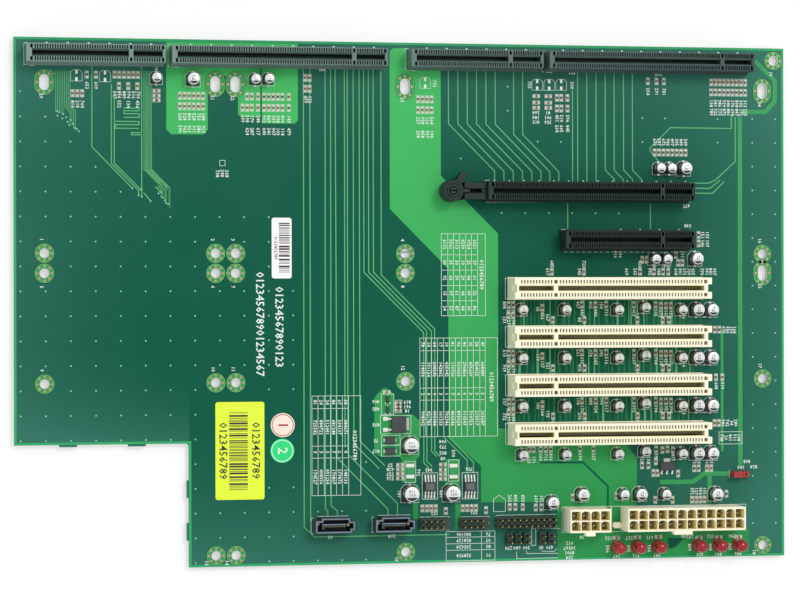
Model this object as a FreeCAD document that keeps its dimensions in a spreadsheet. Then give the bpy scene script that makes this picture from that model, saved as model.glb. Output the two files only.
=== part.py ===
"""Passive backplane board: a bare circuit board that carries card slots and power headers.

The board lies flat with its component side up. The origin is under the middle of the board,
at the tips of the solder tails that it lies on; +X runs along the host card row, +Y towards it.
"""
import FreeCAD, Part
import math
import os
import Sketcher

DOC = FreeCAD.newDocument("backplane_board")

DIMENSIONS = {
    "board_length": 326.5,
    "board_width": 217.0,
    "board_thick": 2.0,
    "notch_length": 71.05,
    "notch_width": 50.95,
    "notch_round": 1.2,
    "nub_depth": 0.9,
    "nub_length": 7.2,
    "nub_first": 18.2,
    "nub_pitch": 28.0,
    "nub_drop": 15.2,
    "nub_step": 17.5,
    "tail_depth": 1.4,
    "hole_size": 4.0,
    "hole_stretch": 2.6,
    "edge_pitch": 1.0,
    "edge_key_gap": 2.0,
    "edge_rib": 1.8,
    "edge_left_end": 2.9,
    "edge_right_end": 2.1,
    "edge_slot_margin": 0.8,
    "edge_width": 7.4,
    "edge_foot_width": 8.8,
    "edge_foot_height": 2.4,
    "edge_height": 11.25,
    "edge_slot_width": 1.8,
    "edge_slot_depth": 8.6,
    "edge_row_offset": 2.35,
    "edge_row_width": 0.9,
    "edge_row_depth": 8.0,
    "bus_pitch": 1.27,
    "bus_key_gap": 2.54,
    "bus_rib": 1.7,
    "bus_left_end": 2.26,
    "bus_right_end": 3.84,
    "bus_slot_margin": 0.6,
    "bus_width": 8.9,
    "bus_foot_width": 9.5,
    "bus_foot_height": 1.6,
    "bus_height": 14.5,
    "bus_slot_width": 2.0,
    "bus_slot_depth": 11.0,
    "bus_row_offset": 2.8,
    "bus_row_width": 1.0,
    "bus_row_depth": 10.0,
    "bus_end_notch": 1.7,
    "bus_near_notch": 0.9,
    "bus_end_notch_width": 3.2,
    "bus_end_notch_depth": 6.0,
    "slot_chamfer": 0.4,
    "contact_thick": 0.5,
    "contact_drop": 1.8,
    "card_pitch": 20.32,
    "host_row_y": 101.4,
    "host_key_a": 132.7,
    "host_pair_step": 91.6,
    "host_group_step": 157.5,
    "express_key_x": 106.5,
    "bus_key_x": 59.5,
    "last_card_y": -55.0,
    "latch_hub_x": 16.9,
    "latch_base_height": 2.0,
    "latch_rail_height": 8.5,
    "latch_rail_width": 2.8,
    "latch_rail_gap": 1.6,
    "latch_ring_radius": 4.6,
    "latch_floor_reach": 3.0,
    "latch_post_radius": 1.4,
    "latch_clearance": 0.3,
    "latch_top": 10.2,
    "latch_tab_reach": 9.1,
    "latch_tab_width": 2.6,
    "latch_tab_foot": 4.0,
    "latch_tab_height": 5.2,
    "latch_tab_angle": 56.0,
    "latch_nose_reach": 7.2,
    "latch_nose_width": 1.5,
    "latch_nose_height": 0.9,
    "power_pitch": 4.2,
    "power_row_pitch": 4.3,
    "power_margin": 5.0,
    "power_width": 9.8,
    "power_height": 12.8,
    "power_cavity": 3.6,
    "power_cavity_depth": 10.6,
    "power_cavity_corner": 1.0,
    "power_pin": 1.05,
    "power_pin_top": 9.0,
    "power_row_y": -91.3,
    "main_power_x": 116.4,
    "aux_power_x": 74.7,
    "catch_length": 4.2,
    "catch_depth": 1.5,
    "catch_height": 4.0,
    "main_catch_length": 8.2,
    "catch_shift": 0.0,
    "main_catch_shift": -1.6,
    "peg_length": 3.8,
    "peg_width": 2.6,
    "peg_height": 3.0,
    "peg_offset": -2.8,
    "drive_length": 16.6,
    "drive_width": 6.4,
    "drive_height": 8.5,
    "drive_wall": 0.9,
    "drive_left_step": 2.5,
    "drive_left_drop": 1.05,
    "drive_right_step": 2.0,
    "drive_right_drop": 1.4,
    "drive_foot_step": 1.3,
    "drive_foot_rise": 1.2,
    "drive_cavity_depth": 7.0,
    "drive_tongue_left": 5.6,
    "drive_tongue_right": 4.4,
    "drive_tongue_high": 0.7,
    "drive_tongue_thick": 1.1,
    "drive_key": 2.3,
    "drive_y": -91.7,
    "drive_first_x": -32.6,
    "drive_second_x": -7.5,
    "drive_contact_row": 7.62,
    "drive_contact_height": 6.0,
    "drive_contact_thick": 0.2,
    "pin_pitch": 2.54,
    "pin_size": 0.64,
    "pin_height": 8.4,
    "pin_base_height": 2.54,
    "header_row_y": -92.2,
    "port_header_first_x": 10.3,
    "port_header_second_x": 27.2,
    "control_header_x": 49.4,
    "two_pin_y": -99.0,
    "selector_x": 143.1,
    "selector_y": -73.3,
    "selector_pin_height": 5.2,
    "cap_length": 5.0,
    "cap_width": 2.4,
    "cap_height": 3.0,
    "cap_pin_room": 0.1,
    "led_radius": 2.5,
    "led_height": 8.4,
    "led_crown": 1.5,
    "led_row_y": -103.5,
    "can_base_height": 0.9,
    "small_can": 4.0,
    "small_can_height": 5.4,
    "medium_can": 5.0,
    "medium_can_height": 5.4,
    "large_can": 6.3,
    "large_can_height": 5.8,
    "can_base_margin": 0.3,
    "label_thick": 0.15,
    "sticker_radius": 5.0,
    "driver_length": 4.9,
    "driver_width": 3.9,
    "driver_height": 1.6,
}


class Length:
    """A number in millimetres that remembers the sheet expression it comes from."""

    def __init__(self, value, text):
        self.value = value
        self.text = text

    def join(self, other, sign, value, flipped=False):
        """This length and another one, or a number, joined by an arithmetic sign."""
        first, second = self.text, expression(other)
        if flipped:
            first, second = second, first
        return Length(value, f"({first} {sign} {second})")

    def __add__(self, other):
        return self.join(other, "+", self.value + number(other))

    def __radd__(self, other):
        return self.join(other, "+", number(other) + self.value, True)

    def __sub__(self, other):
        return self.join(other, "-", self.value - number(other))

    def __rsub__(self, other):
        return self.join(other, "-", number(other) - self.value, True)

    def __mul__(self, other):
        return self.join(other, "*", self.value * number(other))

    def __rmul__(self, other):
        return self.join(other, "*", number(other) * self.value, True)

    def __truediv__(self, other):
        return self.join(other, "/", self.value / number(other))

    def __neg__(self):
        return Length(-self.value, f"(0 - {self.text})")


def number(length):
    """The plain value of a Length or a number."""
    return length.value if isinstance(length, Length) else length


def expression(length):
    """The sheet expression of a Length, or the text of a number."""
    return length.text if isinstance(length, Length) else repr(float(length))


class Sheet:
    """The driving dimensions as aliased spreadsheet cells, read back as Lengths by name."""

    def __init__(self, values):
        self.sheet = DOC.addObject("Spreadsheet::Sheet", "Dimensions")
        for row, (alias, value) in enumerate(values.items(), start=1):
            self.sheet.set(f"A{row}", alias)
            self.sheet.set(f"B{row}", str(value))
            self.sheet.setAlias(f"B{row}", alias)
        DOC.recompute()

    def __getattr__(self, alias):
        return Length(float(self.sheet.get(alias)), f"Dimensions.{alias}")


SIZE = Sheet(DIMENSIONS)
BOARD_TOP = SIZE.tail_depth + SIZE.board_thick
NODES = []
CLOSE = 1e-6


def bind(item, prop, length):
    """Drive one property by a Length or a number."""
    item.setExpression(prop, expression(length))


def place(item, x, y, z):
    """Drive an object's position."""
    for axis, length in zip("xyz", (x, y, z)):
        bind(item, f"Placement.Base.{axis}", length)


def node(item, label):
    """Name a finished sub-part, which is then written to its own file."""
    item.Label = label
    NODES.append(item)
    return item


def block(name, middle, foot, extent):
    """A box centred on middle (x, y) that stands at the height foot."""
    solid = DOC.addObject("Part::Box", name)
    for prop, length in zip(("Length", "Width", "Height"), extent):
        bind(solid, prop, length)
    place(solid, middle[0] - extent[0] / 2, middle[1] - extent[1] / 2, foot)
    return solid


def disc(name, middle, foot, radius, height, sides):
    """An upright round piece on middle (x, y), drawn with a few flat sides."""
    solid = DOC.addObject("Part::Prism", name)
    solid.Polygon = sides
    bind(solid, "Circumradius", radius)
    bind(solid, "Height", height)
    place(solid, middle[0], middle[1], foot)
    return solid


def group(label, members):
    """Separate solids of one kind that share a node."""
    compound = DOC.addObject("Part::Compound", label)
    compound.Links = members
    return node(compound, label)


def body_named(label):
    """An empty body that becomes one node."""
    return node(DOC.addObject("PartDesign::Body", label), label)


def sketch_in(body, role, name, lift=0.0):
    """A sketch on one of the body's own planes, lifted along the plane's normal."""
    sketch = body.newObject("Sketcher::SketchObject", name)
    plane = next(item for item in body.Origin.OriginFeatures if item.Role == role)
    sketch.AttachmentSupport = [(plane, "")]
    sketch.MapMode = "FlatFace"
    bind(sketch, "AttachmentOffset.Base.z", lift)
    return sketch


def fix_point(sketch, edge, end, x, y):
    """Hold one end of a sketch edge at driven distances from the sketch's origin."""
    for kind, length in (("DistanceX", x), ("DistanceY", y)):
        index = sketch.addConstraint(Sketcher.Constraint(kind, -1, 1, edge, end, number(length)))
        sketch.setExpression(f"Constraints[{index}]", expression(length))


def outline(sketch, corners):
    """A closed outline of straight edges through driven corners."""
    first = sketch.GeometryCount
    points = [FreeCAD.Vector(number(x), number(y), 0) for x, y in corners]
    for here, there in zip(points, points[1:] + points[:1]):
        sketch.addGeometry(Part.LineSegment(here, there), False)
    for index, (x, y) in enumerate(corners):
        following = first + (index + 1) % len(corners)
        sketch.addConstraint(Sketcher.Constraint("Coincident", first + index, 2, following, 1))
        fix_point(sketch, first + index, 1, x, y)


def rectangle(sketch, left, right, low, high):
    """A closed rectangle between driven sides."""
    outline(sketch, [(left, low), (right, low), (right, high), (left, high)])


def circle(sketch, x, y, radius):
    """A driven circle."""
    middle = FreeCAD.Vector(number(x), number(y), 0)
    edge = sketch.addGeometry(Part.Circle(middle, FreeCAD.Vector(0, 0, 1), number(radius)), False)
    fix_point(sketch, edge, 3, x, y)
    index = sketch.addConstraint(Sketcher.Constraint("Radius", edge, number(radius)))
    sketch.setExpression(f"Constraints[{index}]", expression(radius))


def stadium(sketch, x, y, width, stretch):
    """A slot with round ends, upright in the sketch, around driven end centres."""
    radius = number(width) / 2
    low, high = y - stretch / 2, y + stretch / 2
    first = sketch.GeometryCount
    normal = FreeCAD.Vector(0, 0, 1)
    arcs = ((high, 0.0, math.pi), (low, math.pi, 2 * math.pi))
    for level, start, end in arcs:
        middle = FreeCAD.Vector(number(x), number(level), 0)
        arc = Part.ArcOfCircle(Part.Circle(middle, normal, radius), start, end)
        sketch.addGeometry(arc, False)
    left, right = number(x) - radius, number(x) + radius
    for side, start, end in ((left, high, low), (right, low, high)):
        line = Part.LineSegment(FreeCAD.Vector(side, number(start), 0), FreeCAD.Vector(side, number(end), 0))
        sketch.addGeometry(line, False)
    chain = (first, first + 2, first + 1, first + 3)
    for here, there in zip(chain, chain[1:] + chain[:1]):
        sketch.addConstraint(Sketcher.Constraint("Tangent", here, 2, there, 1))
    fix_point(sketch, first, 3, x, high)
    fix_point(sketch, first + 1, 3, x, low)
    index = sketch.addConstraint(Sketcher.Constraint("Radius", first, radius))
    sketch.setExpression(f"Constraints[{index}]", expression(width / 2))


def pad(body, sketch, name, length):
    """Material raised from a sketch along its normal."""
    feature = body.newObject("PartDesign::Pad", name)
    feature.Profile = sketch
    bind(feature, "Length", length)
    return feature


def pocket(body, sketch, name, depth):
    """Material taken away below a sketch; stops the build if it cuts nothing."""
    DOC.recompute()
    before = body.Shape.Volume
    feature = body.newObject("PartDesign::Pocket", name)
    feature.Profile = sketch
    bind(feature, "Length", depth)
    DOC.recompute()
    if body.Shape.Volume >= before:
        raise RuntimeError(f"{body.Label}: {name} removes nothing")
    return feature


def chamfer(body, base, name, size, wanted):
    """A chamfer on the edges of a feature that a test on their two ends picks out."""
    DOC.recompute()
    names = []
    for index, edge in enumerate(base.Shape.Edges, start=1):
        if len(edge.Vertexes) == 2 and wanted(edge.Vertexes[0].Point, edge.Vertexes[1].Point):
            names.append(f"Edge{index}")
    feature = body.newObject("PartDesign::Chamfer", name)
    feature.Base = (base, names)
    bind(feature, "Size", size)
    return feature


# Mounting holes: places of the round and the stretched ones, by column and row.
HOLE_LEFT, HOLE_PAIR, HOLE_MIDDLE, HOLE_RIGHT = -150.9, (-81.0, -72.7), -1.6, 153.7
HOLE_TOP, HOLE_UPPER, HOLE_CENTRE, HOLE_LOWER, HOLE_BOTTOM = 90.2, 20.6, 12.4, -32.7, -103.9
HOLE_CORNER = (158.7, 103.2)
STRETCHED_HOLES = [(x, HOLE_TOP) for x in (HOLE_LEFT, *HOLE_PAIR, HOLE_MIDDLE, HOLE_RIGHT)]
STRETCHED_HOLES += [(HOLE_RIGHT, HOLE_CENTRE)]
ROUND_HOLES = [(x, y) for x in (HOLE_LEFT, *HOLE_PAIR, HOLE_MIDDLE) for y in (HOLE_UPPER, HOLE_CENTRE)]
ROUND_HOLES += [(HOLE_RIGHT, HOLE_UPPER), HOLE_CORNER]
ROUND_HOLES += [(x, HOLE_LOWER) for x in (HOLE_LEFT, *HOLE_PAIR, HOLE_MIDDLE, HOLE_RIGHT)]
ROUND_HOLES += [(x, HOLE_BOTTOM) for x in (*HOLE_PAIR, HOLE_MIDDLE, HOLE_RIGHT)]


def make_board():
    """The bare board with its corner notch, the break-off nubs in it and the mounting holes."""
    body = body_named("board")
    place(body, 0.0, 0.0, SIZE.tail_depth)
    right, top = SIZE.board_length / 2, SIZE.board_width / 2
    inner_x, inner_y = SIZE.notch_length - right, SIZE.notch_width - top
    corners = [(-right, top), (-right, inner_y)]
    for step in range(2):
        start = SIZE.nub_first + SIZE.nub_pitch * step - right
        end = start + SIZE.nub_length
        below = inner_y - SIZE.nub_depth
        corners += [(start, inner_y), (start, below), (end, below), (end, inner_y)]
    corners += [(inner_x, inner_y)]
    for step in range(2):
        start = inner_y - SIZE.nub_drop - SIZE.nub_step * step
        end = start - SIZE.nub_length
        beside = inner_x - SIZE.nub_depth
        corners += [(inner_x, start), (beside, start), (beside, end), (inner_x, end)]
    corners += [(inner_x, -top), (right, -top), (right, top)]
    plate = sketch_in(body, "XY_Plane", "board_outline")
    outline(plate, corners)
    base = pad(body, plate, "board_plate", SIZE.board_thick)

    def notch_corner(one, two):
        """True for the upright edge in the inner corner of the notch."""
        close = [abs(p.x - number(inner_x)) + abs(p.y - number(inner_y)) for p in (one, two)]
        return max(close) < CLOSE

    DOC.recompute()
    edges = [f"Edge{i}" for i, e in enumerate(base.Shape.Edges, start=1)
             if notch_corner(e.Vertexes[0].Point, e.Vertexes[-1].Point)]
    rounding = body.newObject("PartDesign::Fillet", "notch_corner")
    rounding.Base = (base, edges)
    bind(rounding, "Radius", SIZE.notch_round)
    holes = sketch_in(body, "XY_Plane", "mounting_holes", SIZE.board_thick)
    for x, y in ROUND_HOLES:
        circle(holes, x, y, SIZE.hole_size / 2)
    for x, y in STRETCHED_HOLES:
        stadium(holes, x, y, SIZE.hole_size, SIZE.hole_stretch)
    pocket(body, holes, "mounting_hole_cuts", SIZE.board_thick)


class SlotKind:
    """Shared sizes of one kind of card slot, read from the sheet by the kind's first word."""

    def __init__(self, word):
        self.word = word

    def __getattr__(self, part):
        return getattr(SIZE, f"{self.word}_{part}")


EDGE, BUS = SlotKind("edge"), SlotKind("bus")
BUS_CONTACTS = (11, 49)
WIDE_CONTACTS = (71, 11)
NARROW_CONTACTS = (38, 11)


def slot_rows(kind, contacts):
    """The x spans, from the key, of the contact rows left and right of it."""
    gap = kind.key_gap / 2
    return (-gap - kind.pitch * contacts[0], -gap), (gap, gap + kind.pitch * contacts[1])


def make_slot_housing(name, kind, contacts, key_x, middle_y):
    """A card slot's moulded housing: footed section, keyed card slot and four contact rows."""
    body = body_named(f"{name}_housing")
    place(body, key_x, middle_y, BOARD_TOP)
    (left, left_inner), (right_inner, right) = slot_rows(kind, contacts)
    half, foot = kind.width / 2, kind.foot_width / 2
    section = sketch_in(body, "YZ_Plane", f"{name}_section", left - kind.left_end)
    outline(section, [(-foot, 0.0), (foot, 0.0), (foot, kind.foot_height), (half, kind.foot_height),
                      (half, kind.height), (-half, kind.height), (-half, kind.foot_height),
                      (-foot, kind.foot_height)])
    pad(body, section, f"{name}_bar", right - left + kind.left_end + kind.right_end)
    mouth = sketch_in(body, "XY_Plane", f"{name}_mouth", kind.height)
    rib, wide = kind.rib / 2, kind.slot_width / 2
    rectangle(mouth, left - kind.slot_margin, -rib, -wide, wide)
    rectangle(mouth, rib, right + kind.slot_margin, -wide, wide)
    card = pocket(body, mouth, f"{name}_card_slot", kind.slot_depth)

    def lip(one, two):
        """True for the long top edges of the card slot."""
        level = [abs(p.z - number(kind.height)) + abs(abs(p.y) - number(wide)) for p in (one, two)]
        return max(level) < CLOSE and abs(one.x - two.x) > number(kind.pitch)

    chamfer(body, card, f"{name}_lead_in", SIZE.slot_chamfer, lip)
    rows = sketch_in(body, "XY_Plane", f"{name}_rows", kind.height)
    for side in (-1, 1):
        inner = kind.row_offset - kind.row_width / 2
        low, high = sorted((inner * side, (inner + kind.row_width) * side), key=number)
        rectangle(rows, left, left_inner, low, high)
        rectangle(rows, right_inner, right, low, high)
    pocket(body, rows, f"{name}_row_cuts", kind.row_depth)
    if kind is BUS:
        ends = sketch_in(body, "XY_Plane", f"{name}_end", kind.height)
        wide, near, far = kind.end_notch_width / 2, left - kind.left_end, right + kind.right_end
        rectangle(ends, near, near + kind.near_notch, -wide, wide)
        rectangle(ends, far - kind.end_notch, far, -wide, wide)
        pocket(body, ends, f"{name}_end_notches", kind.end_notch_depth)


def make_slot_contacts(name, kind, contacts, key_x, middle_y):
    """A card slot's four contact rows, from below their mouth to the soldered tails under the board."""
    solids = []
    tall = BOARD_TOP + kind.height - SIZE.contact_drop
    for start, end in slot_rows(kind, contacts):
        for side in (-1, 1):
            middle = (key_x + (start + end) / 2, middle_y + kind.row_offset * side)
            size = (end - start, SIZE.contact_thick, tall)
            solids.append(block(f"{name}_row_{len(solids)}", middle, 0.0, size))
    group(f"{name}_contacts", solids)


def make_slots():
    """The four host slots, the two serial card slots and the four bus slots."""
    key_c = SIZE.host_key_a - SIZE.host_group_step
    slots = {
        "host_slot_a": (EDGE, WIDE_CONTACTS, SIZE.host_key_a, SIZE.host_row_y),
        "host_slot_b": (EDGE, NARROW_CONTACTS, SIZE.host_key_a - SIZE.host_pair_step, SIZE.host_row_y),
        "host_slot_c": (EDGE, WIDE_CONTACTS, key_c, SIZE.host_row_y),
        "host_slot_d": (EDGE, NARROW_CONTACTS, key_c - SIZE.host_pair_step, SIZE.host_row_y),
        "long_slot": (EDGE, WIDE_CONTACTS, SIZE.express_key_x, SIZE.last_card_y + SIZE.card_pitch * 5),
        "short_slot": (EDGE, NARROW_CONTACTS, SIZE.express_key_x, SIZE.last_card_y + SIZE.card_pitch * 4),
    }
    for count in range(4):
        middle_y = SIZE.last_card_y + SIZE.card_pitch * (3 - count)
        slots[f"bus_slot_{count + 1}"] = (BUS, BUS_CONTACTS, SIZE.bus_key_x, middle_y)
    for name, spec in slots.items():
        make_slot_housing(name, *spec)
        make_slot_contacts(name, *spec)


def make_latch():
    """The card latch at the long slot's open end: a bracket with two rails and a turning lever."""
    middle_y = SIZE.last_card_y + SIZE.card_pitch * 5
    slot_end = SIZE.express_key_x + slot_rows(EDGE, WIDE_CONTACTS)[0][0] - EDGE.left_end
    reach = slot_end - SIZE.latch_hub_x
    half = SIZE.latch_rail_width + SIZE.latch_rail_gap / 2
    bracket = body_named("latch_bracket")
    place(bracket, SIZE.latch_hub_x, middle_y, BOARD_TOP)
    plate = sketch_in(bracket, "XY_Plane", "bracket_plate")
    head = SIZE.latch_floor_reach
    outline(plate, [(-head, head / 2 - half), (-head / 2, -half), (reach, -half), (reach, half),
                    (-head / 2, half), (-head, half - head / 2)])
    pad(bracket, plate, "bracket_floor", SIZE.latch_base_height)
    rails = sketch_in(bracket, "XY_Plane", "bracket_rails")
    start = SIZE.latch_ring_radius + SIZE.latch_clearance
    rectangle(rails, start, reach, SIZE.latch_rail_gap / 2, half)
    rectangle(rails, start, reach, -half, -SIZE.latch_rail_gap / 2)
    pad(bracket, rails, "bracket_rail_bars", SIZE.latch_rail_height)
    post = sketch_in(bracket, "XY_Plane", "bracket_post")
    circle(post, 0.0, 0.0, SIZE.latch_post_radius)
    pad(bracket, post, "bracket_pivot", SIZE.latch_top)

    lever = body_named("latch_lever")
    place(lever, SIZE.latch_hub_x, middle_y, BOARD_TOP)
    inner = SIZE.latch_post_radius + SIZE.latch_clearance
    floor = SIZE.latch_base_height + SIZE.latch_clearance
    ring = sketch_in(lever, "XZ_Plane", "lever_ring")
    rectangle(ring, inner, SIZE.latch_ring_radius, floor, SIZE.latch_top)
    turned = lever.newObject("PartDesign::Revolution", "lever_hub")
    turned.Profile = ring
    turned.ReferenceAxis = (ring, ["V_Axis"])
    turned.Angle = 360
    tab = sketch_in(lever, "XY_Plane", "lever_tab", SIZE.latch_tab_foot)
    bind(tab, "AttachmentOffset.Rotation.Angle", SIZE.latch_tab_angle)
    hold = (inner + SIZE.latch_ring_radius) / 2
    tip = SIZE.latch_tab_width / 4
    outline(tab, [(hold, -SIZE.latch_tab_width / 2), (SIZE.latch_tab_reach - tip, -SIZE.latch_tab_width / 2),
                  (SIZE.latch_tab_reach, -tip), (SIZE.latch_tab_reach, tip),
                  (SIZE.latch_tab_reach - tip, SIZE.latch_tab_width / 2), (hold, SIZE.latch_tab_width / 2)])
    pad(lever, tab, "lever_finger_tab", SIZE.latch_tab_height)
    nose_foot = SIZE.latch_rail_height + SIZE.latch_clearance
    nose = sketch_in(lever, "XY_Plane", "lever_nose", nose_foot)
    rectangle(nose, hold, SIZE.latch_nose_reach, -SIZE.latch_nose_width / 2, SIZE.latch_nose_width / 2)
    pad(lever, nose, "lever_catch", SIZE.latch_nose_height)


def cavity_places(ways, middle_x):
    """The centres of a power header's cavities, in two rows of ways."""
    for row in (-1, 1):
        for way in range(ways):
            step = way - (ways - 1) / 2
            yield way, row, (middle_x + SIZE.power_pitch * step, SIZE.power_row_pitch * (row / 2))


def make_power_header(name, ways, middle_x, catch, shift, peg):
    """A two-row power header: keyed cavities in a block, a catch on its face, a peg at its end, and pins."""
    body = body_named(f"{name}_housing")
    place(body, middle_x, SIZE.power_row_y, BOARD_TOP)
    long = (SIZE.power_pitch * (ways - 1) + SIZE.power_margin) / 2
    half = SIZE.power_width / 2
    base = sketch_in(body, "XY_Plane", f"{name}_base")
    rectangle(base, -long, long, -half, half)
    pad(body, base, f"{name}_block", SIZE.power_height)
    ledge = sketch_in(body, "XY_Plane", f"{name}_ledge", SIZE.power_height - SIZE.catch_height)
    rectangle(ledge, shift - catch / 2, shift + catch / 2, -half - SIZE.catch_depth, -half)
    pad(body, ledge, f"{name}_catch", SIZE.catch_height)
    wells = sketch_in(body, "XY_Plane", f"{name}_wells", SIZE.power_height)
    for way, row, (x, y) in cavity_places(ways, Length(0.0, "0")):
        side = SIZE.power_cavity / 2
        if (way % 4 in (0, 3)) == (row > 0):
            rectangle(wells, x - side, x + side, y - side, y + side)
        else:
            cut = SIZE.power_cavity_corner
            outline(wells, [(x - side, y - side), (x + side, y - side), (x + side, y + side - cut),
                            (x + side - cut, y + side), (x - side + cut, y + side), (x - side, y + side - cut)])
    pocket(body, wells, f"{name}_cavities", SIZE.power_cavity_depth)
    if peg:
        lug = sketch_in(body, "XY_Plane", f"{name}_lug")
        rectangle(lug, -long - SIZE.peg_length, -long, SIZE.peg_offset - SIZE.peg_width / 2,
                  SIZE.peg_offset + SIZE.peg_width / 2)
        pad(body, lug, f"{name}_board_peg", SIZE.peg_height)
    pins = []
    size = (SIZE.power_pin, SIZE.power_pin, BOARD_TOP + SIZE.power_pin_top)
    for _, _, (x, y) in cavity_places(ways, middle_x):
        pins.append(block(f"{name}_pin_{len(pins)}", (x, SIZE.power_row_y + y), 0.0, size))
    group(f"{name}_pins", pins)


def drive_shell(wall):
    """Corners of a drive port's stepped outline, moved inwards by wall."""
    long, wide = SIZE.drive_length / 2 - wall, SIZE.drive_width / 2 - wall
    foot, right, left = SIZE.drive_foot_step, SIZE.drive_right_step, SIZE.drive_left_step
    foot_level, right_level = SIZE.drive_foot_rise - wide, wide - SIZE.drive_right_drop
    left_level = wide - SIZE.drive_left_drop
    return [(-long, -wide), (long - foot, -wide), (long - foot, foot_level), (long, foot_level),
            (long, right_level), (long - right, right_level), (long - right, wide), (left - long, wide),
            (left - long, left_level), (-long, left_level)]


def make_drive_ports():
    """Two drive ports: a shell round a keyed tongue, and the contacts on the tongue's face."""
    contacts = []
    for count, middle_x in enumerate((SIZE.drive_first_x, SIZE.drive_second_x), start=1):
        name = f"drive_port_{count}"
        body = body_named(f"{name}_housing")
        place(body, middle_x, SIZE.drive_y, BOARD_TOP)
        base = sketch_in(body, "XY_Plane", f"{name}_base")
        outline(base, drive_shell(0.0))
        pad(body, base, f"{name}_shell", SIZE.drive_height)
        mouth = sketch_in(body, "XY_Plane", f"{name}_mouth", SIZE.drive_height)
        outline(mouth, drive_shell(SIZE.drive_wall))
        near, far, thick = -SIZE.drive_tongue_left, SIZE.drive_tongue_right, SIZE.drive_tongue_thick
        high = SIZE.drive_tongue_high
        face = high - thick
        outline(mouth, [(near, high), (near, high - SIZE.drive_key), (near + thick, high - SIZE.drive_key),
                        (near + thick, face), (far, face), (far, high)])
        pocket(body, mouth, f"{name}_well", SIZE.drive_cavity_depth)
        middle = (middle_x + (near + far + thick) / 2, SIZE.drive_y + face - SIZE.drive_contact_thick / 2)
        foot = BOARD_TOP + SIZE.drive_height - SIZE.drive_cavity_depth
        size = (SIZE.drive_contact_row, SIZE.drive_contact_thick, SIZE.drive_contact_height)
        contacts.append(block(f"{name}_contact_row", middle, foot, size))
    group("drive_port_contacts", contacts)


def header_parts(name, columns, rows, middle_x, middle_y, bare=0, height=SIZE.pin_height):
    """A pin header's moulded strip and its square pins, which the last bare columns lack."""
    size = (SIZE.pin_pitch * columns, SIZE.pin_pitch * rows, SIZE.pin_base_height)
    strip = block(f"{name}_strip", (middle_x, middle_y), BOARD_TOP, size)
    pins = []
    for column in range(columns - bare):
        for row in range(rows):
            middle = (middle_x + SIZE.pin_pitch * (column - (columns - 1) / 2),
                      middle_y + SIZE.pin_pitch * (row - (rows - 1) / 2))
            pin = (SIZE.pin_size, SIZE.pin_size, BOARD_TOP + height)
            pins.append(block(f"{name}_pin_{len(pins)}", middle, 0.0, pin))
    return strip, pins


TWO_PIN_COLUMNS = (42.2, 45.9, 49.5, 56.3, 60.1)


def make_pin_headers():
    """The two port headers, the control header, the five two-pin headers and the selector."""
    first, first_pins = header_parts("port_one", 5, 2, SIZE.port_header_first_x, SIZE.header_row_y, 1)
    second, second_pins = header_parts("port_two", 5, 2, SIZE.port_header_second_x, SIZE.header_row_y, 1)
    node(first, "port_header_1_base")
    node(second, "port_header_2_base")
    group("port_header_pins", first_pins + second_pins)
    control, control_pins = header_parts("control", 10, 2, SIZE.control_header_x, SIZE.header_row_y)
    node(control, "control_header_base")
    group("control_header_pins", control_pins)
    strips, pins = [], []
    for count, x in enumerate(TWO_PIN_COLUMNS):
        strip, pair = header_parts(f"pair_{count}", 1, 2, x, SIZE.two_pin_y)
        strips.append(strip)
        pins += pair
    group("two_pin_header_bases", strips)
    group("two_pin_header_pins", pins)
    selector, selector_pins = header_parts("selector", 3, 1, SIZE.selector_x, SIZE.selector_y,
                                            height=SIZE.selector_pin_height)
    node(selector, "selector_base")
    group("selector_pins", selector_pins)


def make_jumper_cap():
    """The pull-off cap over two of the selector's pins, with a well for each pin."""
    body = body_named("jumper_cap")
    middle_x = SIZE.selector_x - SIZE.pin_pitch / 2
    place(body, middle_x, SIZE.selector_y, BOARD_TOP + SIZE.pin_base_height)
    base = sketch_in(body, "XY_Plane", "cap_base")
    rectangle(base, -SIZE.cap_length / 2, SIZE.cap_length / 2, -SIZE.cap_width / 2, SIZE.cap_width / 2)
    pad(body, base, "cap_block", SIZE.cap_height)
    wells = sketch_in(body, "XY_Plane", "cap_wells", SIZE.cap_height)
    room = SIZE.pin_size / 2 + SIZE.cap_pin_room
    for side in (-1, 1):
        x = SIZE.pin_pitch * (side / 2)
        rectangle(wells, x - room, x + room, -room, room)
    pocket(body, wells, "cap_pin_wells", SIZE.cap_height)


LED_SIDES = 10
LED_COLUMNS = (89.2, 98.0, 107.0, 124.8, 133.7, 142.5)


def make_leds():
    """Six round indicator lamps: straight barrels with a chamfered crown, drawn with a few flat sides."""
    lenses = []
    for count, x in enumerate(LED_COLUMNS):
        lens = DOC.addObject("PartDesign::Body", f"lamp_{count}")
        place(lens, x, SIZE.led_row_y, BOARD_TOP)
        ring = sketch_in(lens, "XY_Plane", f"lamp_{count}_ring")
        turns = [2 * math.pi * side / LED_SIDES for side in range(LED_SIDES)]
        outline(ring, [(SIZE.led_radius * math.cos(turn), SIZE.led_radius * math.sin(turn))
                       for turn in turns])
        barrel = pad(lens, ring, f"lamp_{count}_barrel", SIZE.led_height)

        def crown(one, two):
            """True for the edges round the top of the lens."""
            return min(one.z, two.z) > number(SIZE.led_height) - CLOSE

        chamfer(lens, barrel, f"lamp_{count}_crown", SIZE.led_crown, crown)
        lenses.append(lens)
    group("led_lenses", lenses)


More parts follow.
